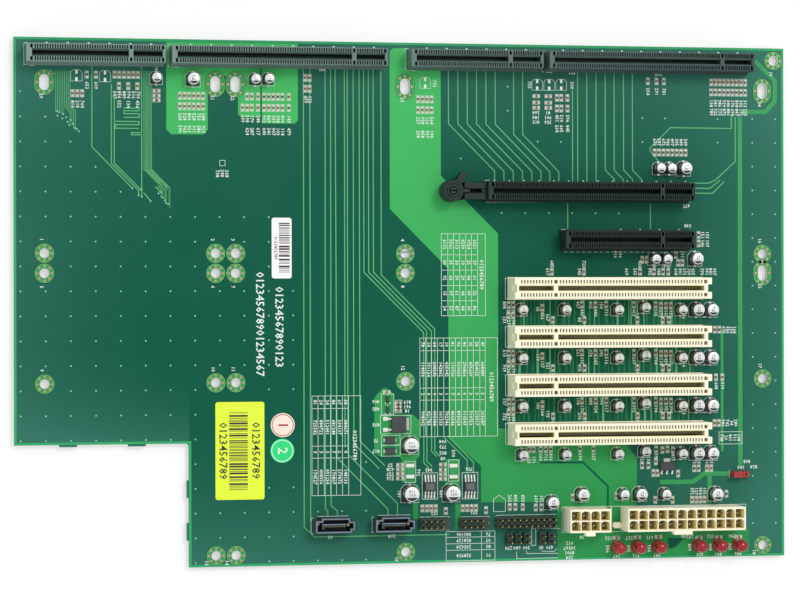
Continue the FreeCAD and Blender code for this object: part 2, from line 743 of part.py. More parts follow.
# Capacitors beside each bus slot: distance along the board, then below the slot's middle.
SLOT_SMALL_CANS = ((47.9, -8.9), (66.5, -8.9), (89.3, -9.0), (101.0, -8.0), (117.2, -9.1))
SLOT_MEDIUM_CANS = ((124.1, -9.1), (130.4, -9.2))
SMALL_CANS = ((-105.4, 92.4), (-64.7, 92.3), (-59.1, 92.5), (107.7, 56.8), (112.5, 56.8),
              (105.5, 18.4), (110.6, 18.4), (91.6, -81.1), (109.8, -81.3))
MEDIUM_CANS = ((-90.3, 92.1), (118.8, 56.8), (123.7, 18.5), (73.7, -81.0), (99.0, -81.2),
               (132.3, -81.6), (60.6, -84.1))
CAN_SIDES = 8
LARGE_CANS = ((0.0, -59.3), (0.1, -79.5), (17.6, -79.5))


def make_cans(size_name, places):
    """Surface-mounted capacitor cans of one size, each on its square plastic base."""
    across, height = getattr(SIZE, f"{size_name}_can"), getattr(SIZE, f"{size_name}_can_height")
    cans, bases = [], []
    for count, middle in enumerate(places):
        side = across + SIZE.can_base_margin
        label = f"{size_name}_{count}"
        bases.append(block(f"{label}_base", middle, BOARD_TOP, (side, side, SIZE.can_base_height)))
        foot = BOARD_TOP + SIZE.can_base_height
        cans.append(disc(f"{label}_can", middle, foot, across / 2, height - SIZE.can_base_height, CAN_SIDES))
    group(f"{size_name}_capacitor_cans", cans)
    group(f"{size_name}_capacitor_bases", bases)


def make_capacitors():
    """All the capacitor cans, in three sizes."""
    slots = [SIZE.last_card_y + SIZE.card_pitch * count for count in range(4)]
    make_cans("small", [(x, y + drop) for y in slots for x, drop in SLOT_SMALL_CANS] + list(SMALL_CANS))
    make_cans("medium", [(x, y + drop) for y in slots for x, drop in SLOT_MEDIUM_CANS] + list(MEDIUM_CANS))
    make_cans("large", LARGE_CANS)


DRIVER_CHIPS = ((8.6, -76.7), (25.7, -76.9))
SMALL_TRANSISTORS = ((-9.3, -40.0), (-9.3, -44.4))
POWER_TRANSISTOR = (-4.7, -50.5)
REGULATOR = (111.2, -69.6)
DIODES = ((-8.3, -57.1), (-8.3, -61.7))
FUSES = ((0.2, -70.1), (18.6, -70.4))
SMALL_TRANSISTOR_SIZE = (1.4, 2.9, 1.1)
POWER_TRANSISTOR_SIZE, POWER_TAB_SIZE = (6.1, 6.5, 2.3), (1.5, 5.3, 0.5)
REGULATOR_SIZE, REGULATOR_TAB_SIZE = (6.5, 3.5, 1.7), (3.0, 1.7, 0.5)
DIODE_SIZE = (4.2, 2.6, 2.1)
FUSE_SIZE = (3.4, 4.6, 0.9)


def make_chips():
    """The driver chips, transistors and their cooling tabs, diodes and resettable fuses."""
    def set_of(label, places, extent):
        """Like pieces of one size on the board."""
        return [block(f"{label}_{count}", middle, BOARD_TOP, extent) for count, middle in enumerate(places)]

    group("driver_chips", set_of("driver", DRIVER_CHIPS, (SIZE.driver_length, SIZE.driver_width,
                                                          SIZE.driver_height)))
    moulded = set_of("small_transistor", SMALL_TRANSISTORS, SMALL_TRANSISTOR_SIZE)
    moulded += set_of("power_body", [POWER_TRANSISTOR], POWER_TRANSISTOR_SIZE)
    moulded += set_of("regulator_body", [REGULATOR], REGULATOR_SIZE)
    group("transistors", moulded)
    power_edge = POWER_TRANSISTOR[0] + POWER_TRANSISTOR_SIZE[0] / 2
    regulator_edge = REGULATOR[1] + REGULATOR_SIZE[1] / 2
    power_middle = (power_edge + POWER_TAB_SIZE[0] / 2, POWER_TRANSISTOR[1])
    regulator_middle = (REGULATOR[0], regulator_edge + REGULATOR_TAB_SIZE[1] / 2)
    tabs = set_of("power_tab", [power_middle], POWER_TAB_SIZE)
    tabs += set_of("regulator_tab", [regulator_middle], REGULATOR_TAB_SIZE)
    group("transistor_tabs", tabs)
    group("diodes", set_of("diode", DIODES, DIODE_SIZE))
    group("resettable_fuses", set_of("fuse", FUSES, FUSE_SIZE))


STICKER_SIDES = 16
BARCODE_PLACE, BARCODE_SIZE = (-53.6, 22.8), (8.3, 25.1)
YELLOW_PLACE, YELLOW_SIZE = (-71.1, -60.8), (20.3, 40.3)
PINK_PLACE, GREEN_PLACE = (-53.3, -50.4), (-53.5, -61.0)


def make_labels():
    """Two paper labels and two round stickers on the bare part of the board."""
    flat = SIZE.label_thick
    node(block("narrow_label", BARCODE_PLACE, BOARD_TOP, (*BARCODE_SIZE, flat)), "barcode_label")
    node(block("wide_label", YELLOW_PLACE, BOARD_TOP, (*YELLOW_SIZE, flat)), "yellow_label")
    for label, middle in (("pink_sticker", PINK_PLACE), ("green_sticker", GREEN_PLACE)):
        node(disc(f"{label}_disc", middle, BOARD_TOP, SIZE.sticker_radius, flat, STICKER_SIDES), label)


def write_parts():
    """Check every object and write each node's solids to its own file."""
    DOC.recompute()
    for item in DOC.Objects:
        if "Invalid" in item.State or "Error" in item.State:
            raise RuntimeError(f"{item.Label} failed: {item.State}")
    os.makedirs("parts", exist_ok=True)
    for item in NODES:
        if item.Shape.isNull() or not item.Shape.isValid():
            raise RuntimeError(f"{item.Label} has no valid shape")
        item.Shape.exportStep(f"parts/{item.Label}.step")
    print(f"{len(NODES)} sub-parts written")


make_board()
make_slots()
make_latch()
make_power_header("main_power", 12, SIZE.main_power_x, SIZE.main_catch_length, SIZE.main_catch_shift, True)
make_power_header("aux_power", 4, SIZE.aux_power_x, SIZE.catch_length, SIZE.catch_shift, False)
make_drive_ports()
make_pin_headers()
make_jumper_cap()
make_leds()
make_capacitors()
make_chips()
make_labels()
write_parts()
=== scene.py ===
"""Looks of the backplane board: sockets, headers, cans, chips, copper and print round its CAD frame.

Sizes are millimetres in the frame's axes, and a piece turns to metres as it is handed over.
"""

import logging
import math
import random
from dataclasses import dataclass
from enum import Enum
from typing import Callable, Iterable, Sequence

import bmesh
import bpy
from bmesh.types import BMEdge, BMesh, BMFace, BMVert
from mathutils import Matrix, Vector


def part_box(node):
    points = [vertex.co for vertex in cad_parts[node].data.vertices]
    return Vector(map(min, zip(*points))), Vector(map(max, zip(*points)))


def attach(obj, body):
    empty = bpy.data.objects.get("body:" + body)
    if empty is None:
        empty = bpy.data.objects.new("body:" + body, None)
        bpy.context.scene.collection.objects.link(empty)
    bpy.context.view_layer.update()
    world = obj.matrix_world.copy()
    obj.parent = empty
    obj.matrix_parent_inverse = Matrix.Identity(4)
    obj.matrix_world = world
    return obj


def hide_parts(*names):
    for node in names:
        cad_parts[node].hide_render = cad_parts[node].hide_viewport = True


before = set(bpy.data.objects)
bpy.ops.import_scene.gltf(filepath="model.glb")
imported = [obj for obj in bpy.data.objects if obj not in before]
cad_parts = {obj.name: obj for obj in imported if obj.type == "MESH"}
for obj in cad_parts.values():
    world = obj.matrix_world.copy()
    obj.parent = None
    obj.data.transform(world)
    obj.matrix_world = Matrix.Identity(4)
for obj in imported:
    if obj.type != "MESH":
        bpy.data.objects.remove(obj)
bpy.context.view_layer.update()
LOG = logging.getLogger("backplane")

Point = tuple[float, float]
Colour = tuple[float, float, float, float]
Tone = tuple[int, int, int]
Box = tuple[Vector, Vector]
Socket = bpy.types.NodeSocket

MM = 0.001
NEAR = 1e-4
FACING = 0.9
RIM_BREAK = 0.3
SMOOTH_ANGLE = math.radians(32.0)
BOARD_TOP = 3.4
BOARD_BACK = 1.4
CARD_PITCH = 20.32
FIRST_CARD = 5.96
TAIL_TIP = 0.0
LAYER_SINK = 0.02
SEED = 20
FIGURE_SHARE = 0.69
FIGURE_GROWTH = 0.015
SOLDER_RISE = 0.9
SOLDER_SINK = 0.05
SOLDER_GRIP = 1.3
PIN_TIP = 0.45


def linear(level: int) -> float:
    """Undoes the screen's transfer curve for one level of 0 to 255."""
    share = level / 255.0
    return share / 12.92 if share <= 0.04045 else ((share + 0.055) / 1.055) ** 2.4


def screen(tone: Tone) -> Colour:
    """The linear colour of red, green and blue screen levels."""
    return *map(linear, tone), 1.0


class Value:
    """A number that varies over a surface; arithmetic on it adds Math nodes."""

    def __init__(self, graph: "Graph", socket: Socket) -> None:
        """Keeps the graph and the socket."""
        self.graph = graph
        self.socket = socket

    def _math(self, operation: str, first: "Value | float", second: "Value | float") -> "Value":
        """Adds one Math node and gives its result."""
        made = self.graph.node("ShaderNodeMath", {"operation": operation}, {0: first, 1: second})
        return Value(self.graph, made.outputs[0])

    def __add__(self, other: "Value | float") -> "Value":
        """The sum."""
        return self._math("ADD", self, other)

    def __radd__(self, other: float) -> "Value":
        """The sum, reflected."""
        return self._math("ADD", other, self)

    def __sub__(self, other: "Value | float") -> "Value":
        """The difference."""
        return self._math("SUBTRACT", self, other)

    def __rsub__(self, other: float) -> "Value":
        """The difference, reflected."""
        return self._math("SUBTRACT", other, self)

    def __mul__(self, other: "Value | float") -> "Value":
        """The product."""
        return self._math("MULTIPLY", self, other)

    def __rmul__(self, other: float) -> "Value":
        """The product, reflected."""
        return self._math("MULTIPLY", other, self)

    def __lt__(self, other: "Value | float") -> "Value":
        """One where it is less, otherwise nought."""
        return self._math("LESS_THAN", self, other)

    def __gt__(self, other: "Value | float") -> "Value":
        """One where it is more, otherwise nought."""
        return self._math("GREATER_THAN", self, other)

    def __abs__(self) -> "Value":
        """Its size without its sign."""
        return self._math("ABSOLUTE", self, 0.0)


class Graph:
    """A material's nodes round one Principled surface."""

    def __init__(self, name: str) -> None:
        """Starts the material with its surface and output.

        Args:
            name: the material's name.
        """
        self.material = bpy.data.materials.new(name)
        self.material.use_nodes = True
        self.tree = self.material.node_tree
        self.tree.nodes.clear()
        self.surface = self.node("ShaderNodeBsdfPrincipled")
        self.output = self.node("ShaderNodeOutputMaterial", {}, {"Surface": self.surface.outputs["BSDF"]})

    def node(self, kind: str, settings: dict | None = None, inputs: dict | None = None) -> bpy.types.Node:
        """Makes any node.

        Args:
            kind: the node's type.
            settings: its properties, set first.
            inputs: values or links of its sockets, by name or number.

        Returns:
            The node.
        """
        made = self.tree.nodes.new(kind)
        for key, value in (settings or {}).items():
            setattr(made, key, value)
        for key, value in (inputs or {}).items():
            self.feed(made.inputs[key], value)
        return made

    def feed(self, socket: Socket, value: object) -> None:
        """Links a socket, or sets it where the value is a constant.

        Args:
            socket: the input to feed.
            value: a Value, another socket, or a constant.
        """
        source = value.socket if isinstance(value, Value) else value
        if isinstance(source, Socket):
            self.tree.links.new(source, socket)
        else:
            socket.default_value = source

    def dress(self, **inputs: object) -> None:
        """Feeds the surface's sockets, whose names are written with underscores."""
        for key, value in inputs.items():
            self.feed(self.surface.inputs[key.replace("_", " ")], value)

    def place(self) -> Socket:
        """The point on the piece, in Object coordinates."""
        return self.node("ShaderNodeTexCoord").outputs["Object"]

    def along(self, vector: Socket, axis: str) -> Value:
        """One part of a vector, by its axis."""
        return Value(self, self.node("ShaderNodeSeparateXYZ", {}, {0: vector}).outputs[axis])

    def noise(self, scale: float, detail: float = 2.0) -> Value:
        """Soft noise of about nought to one, with so many swells to the metre."""
        made = self.node("ShaderNodeTexNoise", {},
                         {"Vector": self.place(), "Scale": scale, "Detail": detail})
        return Value(self, made.outputs[0])

    def mix(self, share: Value, first: object, second: object) -> Socket:
        """Mixes two colours or sockets by the share of the second."""
        made = self.node("ShaderNodeMix", {"data_type": "RGBA"}, {0: share, 6: first, 7: second})
        return made.outputs[2]

    def bump(self, height: Value, depth: float) -> Socket:
        """Relief of a depth in metres, as a normal."""
        return self.node("ShaderNodeBump", {}, {"Distance": depth, "Height": height}).outputs[0]


@dataclass(frozen=True)
class Finish:
    """A finish whose two colours mottle, whose gloss drifts and which has a fine relief."""

    name: str
    colour: Tone
    mottle: Tone
    roughness: float
    spread: float = 400.0
    drift: float = 0.12
    grain: float = 5000.0
    relief: float = 0.00001
    metallic: float = 0.0
    coat: float = 0.0
    specular: float = 0.5

    def tint(self, graph: Graph) -> Socket:
        """The colour over the surface."""
        return graph.mix(graph.noise(self.spread), screen(self.colour), screen(self.mottle))

    def build(self, graph: Graph) -> None:
        """Feeds the surface from the finish's own values."""
        graph.dress(Base_Color=self.tint(graph), Metallic=self.metallic, Coat_Weight=self.coat,
                    Specular_IOR_Level=self.specular,
                    Roughness=self.roughness + self.drift * (graph.noise(self.spread * 2.0) - 0.5),
                    Normal=graph.bump(graph.noise(self.grain), self.relief))

    def material(self) -> bpy.types.Material:
        """Gives the finish's material, made at its first use.

        Returns:
            The material.
        """
        made = bpy.data.materials.get(self.name)
        if made is None:
            graph = Graph(self.name)
            self.build(graph)
            made = graph.material
        return made


@dataclass(frozen=True)
class BoardFinish(Finish):
    """Solder mask on the board's faces with painted glare towards its edges, and bare laminate along its cut
    edges.
    """

    laminate: Tone = (120, 176, 120)
    # The fields below place and weigh the mask's painted glare.
    shift: float = 0.008
    reach: Point = (6.0, 9.9)
    corner_edge: float = -0.092
    corner_reach: float = 17.0
    shares: tuple[float, float, float] = (0.75, 0.8, 0.4)
    clear: float = 0.24

    def tint(self, graph: Graph) -> Socket:
        """Mask with slow painted glare near its edges and lower-left corner, and laminate where faces turn
        sideways.

        Args:
            graph: the material's nodes.

        Returns:
            The colour's socket.
        """
        facing = graph.node("ShaderNodeNewGeometry").outputs["Normal"]
        upward = graph.along(facing, "Z")
        x, y = graph.along(graph.place(), "X"), graph.along(graph.place(), "Y")
        aside, ahead, fall = (x + self.shift) * self.reach[0], y * self.reach[1], y * self.corner_reach
        rim = aside * aside * aside * aside + ahead * ahead * ahead * ahead
        corner = (x < self.corner_edge) * (y < 0.0) * fall * fall * fall * fall
        rim_glare_share, corner_glare_share, cloud = self.shares
        # Painted glare: lighter towards the board's edges and its lower-left corner, with a slow cloud.
        painted_glare = rim_glare_share * rim + corner_glare_share * corner + cloud * graph.noise(self.spread, 1.0) - self.clear
        mask = graph.mix(painted_glare, screen(self.colour), screen(self.mottle))
        return graph.mix(abs(upward) < 0.5, mask, screen(self.laminate))


@dataclass(frozen=True)
class SlopedFinish(Finish):
    """A finish whose second colour grows along one axis."""

    axis: str = "Y"
    slope: float = 4.5
    start: float = 0.28
    cloud: float = 0.3

    def tint(self, graph: Graph) -> Socket:
        """Grows the second colour along the axis, with a soft cloud over it.

        Args:
            graph: the material's nodes.

        Returns:
            The colour's socket.
        """
        along = graph.along(graph.place(), self.axis)
        share = self.slope * along + self.cloud * graph.noise(self.spread) + self.start
        return graph.mix(share, screen(self.colour), screen(self.mottle))


@dataclass(frozen=True)
class LensFinish(Finish):
    """Tinted clear plastic."""

    clear: float = 0.55

    def build(self, graph: Graph) -> None:
        """Adds the lens's clearness to the finish."""
        super().build(graph)
        graph.dress(Transmission_Weight=self.clear, IOR=1.5)


# The mask's second colour is the colour of its painted glare.
MASK = BoardFinish("green_solder_mask_painted_glare", (14, 88, 67), (52, 113, 96), 0.34, spread=14.0, drift=0.06,
                   grain=2600.0, relief=0.000004, specular=0.06)
GAP = Finish("mask_over_gaps", (14, 88, 67), (20, 94, 72), 0.34, spread=14.0, specular=0.06)
TRACE = Finish("mask_over_traces", (84, 168, 108), (102, 184, 124), 0.32, relief=0.000004, specular=0.15)
RUN = Finish("mask_over_wide_runs", (52, 148, 84), (64, 158, 94), 0.32, spread=60.0, specular=0.12)
FAINT = Finish("mask_over_inner_runs", (30, 112, 74), (46, 130, 84), 0.32, spread=200.0, specular=0.1)
# Lighter towards the board's top edge: painted light across the copper fill.
POUR = SlopedFinish("mask_over_copper", (42, 144, 76), (70, 188, 100), 0.34, spread=30.0, relief=0.000004,
                    specular=0.12)
MARGIN = Finish("bare_edge_margin", (40, 160, 96), (52, 172, 108), 0.4, specular=0.15)
LAND = Finish("mask_over_lands", (50, 140, 78), (70, 156, 92), 0.35, specular=0.15)
RIM = Finish("land_rim", (150, 206, 112), (130, 190, 104), 0.4)
VIA_PAD = Finish("plated_pads", (214, 184, 146), (150, 112, 86), 0.35, spread=1500.0, metallic=0.3)
VIA_DOT = Finish("plated_vias", (150, 206, 176), (112, 178, 144), 0.4, spread=1500.0)
INK = Finish("white_print", (234, 244, 236), (214, 230, 220), 0.6, spread=3000.0)
DARK_INK = Finish("black_print", (28, 28, 30), (44, 44, 46), 0.6, spread=3000.0)
TIN = Finish("tin", (196, 198, 194), (160, 162, 158), 0.34, spread=1500.0, metallic=0.9)
SOLDER = Finish("solder", (188, 190, 188), (150, 152, 150), 0.28, spread=900.0, metallic=0.9)
GOLD = Finish("gold_plate", (240, 214, 138), (222, 190, 110), 0.26, spread=1500.0, metallic=0.9)
BLACK = Finish("black_moulding", (18, 36, 32), (30, 48, 44), 0.5, relief=0.00002, grain=4000.0,
               specular=0.3)
# The host slots' black plastic, lighter to the left and darker to the right: painted glare across the slots.
BLACK_WITH_PAINTED_GLARE = SlopedFinish("black_moulding_painted_glare", (122, 146, 139), (44, 60, 62), 0.5, relief=0.00002, grain=4000.0,
                     specular=0.3, axis="X", slope=3.0, start=0.35)
# Mouths and lead-ins of the host slots in their own grey: painted shade in the mouths.
HOST_MOUTH_SHADE = Finish("slate_throat", (74, 98, 92), (58, 78, 74), 0.5, specular=0.3)
HEADER = Finish("header_moulding", (42, 58, 50), (54, 70, 60), 0.5, relief=0.00002, grain=4000.0,
                specular=0.3)
PORT = Finish("port_moulding", (54, 68, 74), (42, 56, 62), 0.5, relief=0.00002, grain=4000.0,
              specular=0.3)
SHADED_BRASS = Finish("shaded_brass", (60, 52, 24), (44, 40, 20), 0.5, spread=1500.0, metallic=0.2)
# A yellower copy of the ivory for the insides of wells and bus slot mouths: painted shade there.
IVORY_PAINTED_SHADE = Finish("ivory_wells_painted_shade", (255, 246, 196), (255, 238, 180), 0.5, specular=0.2)
BRIGHT = Finish("bright_solder", (246, 246, 240), (206, 208, 200), 0.3, spread=1800.0, metallic=0.3)
IVORY = Finish("ivory_moulding", (252, 247, 224), (244, 238, 210), 0.48, relief=0.00002, grain=4000.0,
               specular=0.3)
ALUMINIUM = Finish("can_aluminium", (234, 236, 236), (216, 219, 220), 0.36, spread=900.0,
                   metallic=0.35)
CAN_WALL = Finish("can_wall", (176, 176, 168), (142, 142, 132), 0.22, spread=900.0, metallic=0.9)
GREY_INK = Finish("grey_print", (56, 58, 60), (80, 82, 84), 0.6, spread=3000.0)
# A light grey along the top of the drive ports' walls: a painted sheen on the black plastic.
RIM_SHEEN = Finish("black_moulding_painted_sheen", (126, 146, 160), (92, 112, 124), 0.5, spread=900.0)
BASE = Finish("can_base_moulding", (22, 22, 24), (34, 34, 36), 0.55)
RED_LENS = LensFinish("clear_red_plastic", (176, 8, 28), (132, 2, 20), 0.06, drift=0.02, relief=0.0,
                      specular=0.6, clear=0.1)
RED = Finish("red_moulding", (178, 34, 36), (150, 24, 28), 0.45, relief=0.00002)
CHIP = Finish("chip_moulding", (46, 50, 50), (62, 66, 66), 0.6, relief=0.00003, grain=6000.0)
CHIP_TOP = Finish("chip_face", (98, 102, 102), (86, 90, 90), 0.55, relief=0.00003, grain=6000.0)
CERAMIC = Finish("tan_ceramic", (142, 112, 80), (104, 80, 56), 0.5, spread=1200.0)
GLAZE = Finish("dark_glaze", (48, 54, 56), (70, 74, 74), 0.35, spread=1200.0)
END = Finish("soldered_ends", (236, 232, 216), (196, 190, 168), 0.4, spread=1800.0, metallic=0.1)
FUSE = Finish("green_fuse", (40, 158, 92), (30, 136, 78), 0.45, spread=900.0)
WHITE_PAPER = Finish("label_white", (250, 247, 246), (242, 239, 238), 0.7, spread=250.0, grain=2400.0)
YELLOW_PAPER = Finish("label_lime", (226, 250, 50), (218, 242, 44), 0.55, spread=120.0, grain=2400.0)
PINK_PAPER = Finish("sticker_pink", (248, 230, 218), (242, 220, 206), 0.6, spread=250.0, grain=2400.0)
GREEN_PAPER = Finish("sticker_green", (24, 218, 126), (18, 206, 114), 0.55, spread=250.0, grain=2400.0)


def same(first: float, second: float) -> bool:
    """True where two lengths are the same."""
    return abs(first - second) < NEAR


def face_out(part: BMesh) -> None:
    """Turns a solid's faces outwards."""
    bmesh.ops.recalc_face_normals(part, faces=part.faces)


def four_corners(low: Sequence[float], high: Sequence[float]) -> list[Point]:
    """The four corners of a box on the board."""
    return [(low[0], low[1]), (high[0], low[1]), (high[0], high[1]), (low[0], high[1])]


def cut_square(half: float, cut_by: float) -> list[Point]:
    """A square about nought whose two upper corners are cut."""
    return [(-half, -half), (half, -half), (half, half - cut_by), (half - cut_by, half),
            (cut_by - half, half), (-half, half - cut_by)]


def block(low: Sequence[float], high: Sequence[float]) -> BMesh:
    """Starts a solid as a block.

    Args:
        low: its lowest corner.
        high: its highest corner.

    Returns:
        The solid.
    """
    part = bmesh.new()
    bottom, top = Vector(low), Vector(high)
    bmesh.ops.create_cube(part, size=1.0,
                          matrix=Matrix.LocRotScale((bottom + top) / 2.0, None, top - bottom))
    return part


def cut(part: BMesh, axis: int, levels: Iterable[float]) -> None:
    """Cuts a solid's faces along planes across one axis.

    Args:
        part: the solid.
        axis: 0, 1 or 2.
        levels: where the planes stand.
    """
    across = Vector((0.0, 0.0, 0.0))
    across[axis] = 1.0
    for level in sorted(levels):
        bmesh.ops.bisect_plane(part, geom=part.verts[:] + part.edges[:] + part.faces[:], dist=NEAR,
                               plane_co=across * level, plane_no=across)


def verts_of(made: dict) -> list[BMVert]:
    """The vertices that an operator gave back."""
    return [item for item in made["geom"] if isinstance(item, BMVert)]


def shift_region(part: BMesh, faces: list[BMFace], by: Sequence[float]) -> None:
    """Moves a region of faces as one, with walls along its rim.

    Args:
        part: the solid.
        faces: the region.
        by: the move.
    """
    made = bmesh.ops.extrude_face_region(part, geom=faces)
    bmesh.ops.translate(part, verts=verts_of(made), vec=by)
    bmesh.ops.delete(part, geom=faces, context="FACES")


def level_faces(part: BMesh, height: float, inside: Callable[[Vector], bool]) -> list[BMFace]:
    """Picks the faces of one level whose middles are inside."""
    middles = ((face, face.calc_center_median()) for face in part.faces)
    return [face for face, middle in middles if same(middle.z, height) and inside(middle)]


def bevel(part: BMesh, edges: list[BMEdge], width: float, segments: int = 1) -> None:
    """Breaks edges by a width, in so many segments."""
    bmesh.ops.bevel(part, geom=edges, offset=width, segments=segments, profile=0.5, affect="EDGES",
                    material=-1)


def at(x: float, y: float, z: float = 0.0, turn: float = 0.0) -> Matrix:
    """A place on the board, turned by degrees about the upright."""
    return Matrix.Translation((x, y, z)) @ Matrix.Rotation(math.radians(turn), 4, "Z")


def under(x: float, y: float) -> Matrix:
    """A place on the board's back, facing down."""
    return at(x, y, BOARD_BACK) @ Matrix.Rotation(math.pi, 4, "X")


class Shape:
    """A mesh in the making, which is stamped into others and ends as a piece."""

    def __init__(self) -> None:
        """Starts empty."""
        self.mesh = bmesh.new()

    def take(self, part: BMesh, paint: int = 0) -> None:
        """Adds a solid and frees it.

        Args:
            part: the solid.
            paint: number of the finish it wears.
        """
        for face in part.faces:
            face.material_index = paint
        data = bpy.data.meshes.new("solid")
        part.to_mesh(data)
        part.free()
        self.mesh.from_mesh(data)
        bpy.data.meshes.remove(data)

    def stamp(self, other: "Shape", places: Iterable[Matrix]) -> None:
        """Adds copies of another shape.

        Args:
            other: the shape to copy.
            places: where the copies go.
        """
        data = bpy.data.meshes.new("stamp")
        other.mesh.to_mesh(data)
        for place in places:
            before = len(self.mesh.verts)
            self.mesh.from_mesh(data)
            self.mesh.verts.ensure_lookup_table()
            bmesh.ops.transform(self.mesh, matrix=place, verts=self.mesh.verts[before:])
        bpy.data.meshes.remove(data)

    def box(self, low: Sequence[float], high: Sequence[float], paint: int = 0,
            round_by: float = 0.0) -> None:
        """Adds a block.

        Args:
            low: its lowest corner.
            high: its highest corner.
            paint: number of its finish.
            round_by: bevel of its edges.
        """
        part = block(low, high)
        if round_by:
            bevel(part, part.edges[:], round_by)
        self.take(part, paint)

    def tile(self, middle: Point, half: Point, levels: Point, paint: int = 0) -> None:
        """Adds a flat block by its middle, half its sides and its two levels."""
        (x, y), (wide, long) = middle, half
        self.box((x - wide, y - long, levels[0]), (x + wide, y + long, levels[1]), paint)

    def drum(self, middle: Point, foot: float, top: float, radius: float, tip: float, sides: int = 12,
             paint: int = 0) -> None:
        """Adds a drum or a cone's stump.

        Args:
            middle: its axis on the board.
            foot: its lower level.
            top: its upper level.
            radius: radius at the foot.
            tip: radius at the top.
            sides: how many sides it has.
            paint: number of its finish.
        """
        part = bmesh.new()
        bmesh.ops.create_cone(part, cap_ends=True, segments=sides, radius1=radius, radius2=tip,
                              depth=top - foot, matrix=at(*middle, (foot + top) / 2.0, 180.0 / sides))
        self.take(part, paint)

    def solder(self, middle: Point, back: float, tip: float, radius: float, sides: int,
               paint: int = 1) -> None:
        """Adds a solder cone that hangs from the board's back, with a tip and a wider foot."""
        self.drum(middle, back - SOLDER_RISE, back + SOLDER_SINK, tip, radius, sides, paint)

    def turned(self, profile: Sequence[Point], steps: int, paint: int = 0, closed: bool = False) -> None:
        """Adds a turned solid about the upright through the origin.

        Args:
            profile: radius and height of each point.
            steps: how many sides it has.
            paint: number of its finish.
            closed: whether the profile ends where it starts.
        """
        part = bmesh.new()
        line = [part.verts.new((radius, 0.0, height)) for radius, height in profile]
        ends = zip(line, line[1:] + line[:1]) if closed else zip(line, line[1:])
        edges = [part.edges.new(pair) for pair in ends]
        bmesh.ops.spin(part, geom=line + edges, axis=(0.0, 0.0, 1.0), cent=(0.0, 0.0, 0.0), angle=math.tau,
                       steps=steps, use_merge=True)
        bmesh.ops.remove_doubles(part, verts=part.verts, dist=NEAR)
        face_out(part)
        self.take(part, paint)

    def raise_flat(self, part: BMesh, thick: float, paint: int) -> None:
        """Gives flat faces their thickness and adds them.

        Args:
            part: the flat faces.
            thick: how far they are raised.
            paint: number of their finish.
        """
        made = bmesh.ops.extrude_face_region(part, geom=part.faces[:])
        bmesh.ops.translate(part, verts=verts_of(made), vec=(0.0, 0.0, thick))
        face_out(part)
        self.take(part, paint)

    def patch(self, corners: Sequence[Point], foot: float, top: float, paint: int = 0,
              round_by: float = 0.0) -> None:
        """Adds a flat plate of any outline.

        Args:
            corners: its outline.
            foot: its lower level.
            top: its upper level.
            paint: number of its finish.
            round_by: radius of its corners.
        """
        part = bmesh.new()
        part.faces.new([part.verts.new((x, y, foot)) for x, y in corners])
        if round_by:
            bmesh.ops.bevel(part, geom=part.verts[:], offset=round_by, segments=4, profile=0.5,
                            affect="VERTICES", material=-1)
        self.raise_flat(part, top - foot, paint)

    def ribbon(self, points: Sequence[Point], width: float, foot: float, top: float, paint: int = 0,
               closed: bool = False) -> None:
        """Adds a flat line of even width with mitred bends.

        Args:
            points: its middle line.
            width: its width.
            foot: its lower level.
            top: its upper level.
            paint: number of its finish.
            closed: whether it comes back to its start.
        """
        way = [Vector(point) for point in points]
        runs = [(after - here).normalized() for here, after in zip(way, way[1:] + way[:1])]
        part = bmesh.new()
        sides = {}
        for index, here in enumerate(way):
            last = len(way) - 1
            before = runs[index - 1] if closed or index > 0 else runs[0]
            after = runs[index] if closed or index < last else runs[last - 1]
            lean = (before + after).normalized()
            side = Vector((-lean.y, lean.x)) * (width / 2.0 / max(0.4, lean.dot(after)))
            vert = part.verts.new((*(here - side), foot))
            sides[vert.co.copy().freeze()] = side * 2.0
        line = part.verts[:]
        ends = zip(line, line[1:] + line[:1]) if closed else zip(line, line[1:])
        made = bmesh.ops.extrude_edge_only(part, edges=[part.edges.new(pair) for pair in ends])
        for vert in verts_of(made):
            vert.co += sides[vert.co.copy().freeze()].to_3d()
        self.raise_flat(part, top - foot, paint)

    def ring(self, middle: Point, inner: float, outer: float, foot: float, top: float, stretch: float = 0.0,
             sides: int = 28, paint: int = 0) -> None:
        """Adds a flat ring, or one drawn out along Y.

        Args:
            middle: its middle.
            inner: radius of its hole.
            outer: its own radius.
            foot: its lower level.
            top: its upper level.
            stretch: how far it is drawn out.
            sides: how many sides it has.
            paint: number of its finish.
        """
        part = bmesh.new()
        turn = at(0.0, 0.0, foot, 180.0 / sides)
        for radius in (inner, outer):
            bmesh.ops.create_circle(part, segments=sides, radius=radius, matrix=turn)
        bmesh.ops.bridge_loops(part, edges=part.edges[:])
        for vert in part.verts:
            vert.co += Vector((*middle, 0.0)) + Vector((0.0, math.copysign(stretch / 2.0, vert.co.y), 0.0))
        self.raise_flat(part, top - foot, paint)

    def strip(self, profile: Sequence[Point], width: float, thick: float, paint: int = 0) -> None:
        """Adds a bent strip of sheet metal, its profile across Y and Z.

        Args:
            profile: the bends.
            width: the strip's width along X.
            thick: the sheet's thickness.
            paint: number of its finish.
        """
        part = bmesh.new()
        ends = [part.verts.new((side * width / 2.0, *profile[0])) for side in (-1.0, 1.0)]
        edge = part.edges.new(ends)
        for here, after in zip(profile, profile[1:]):
            made = bmesh.ops.extrude_edge_only(part, edges=[edge])["geom"]
            edge = next(item for item in made if isinstance(item, BMEdge) and set(item.verts) <= set(made))
            bmesh.ops.translate(part, verts=edge.verts[:], vec=(0.0, after[0] - here[0], after[1] - here[1]))
        part.normal_update()
        bmesh.ops.solidify(part, geom=part.faces[:], thickness=thick)
        face_out(part)
        self.take(part, paint)

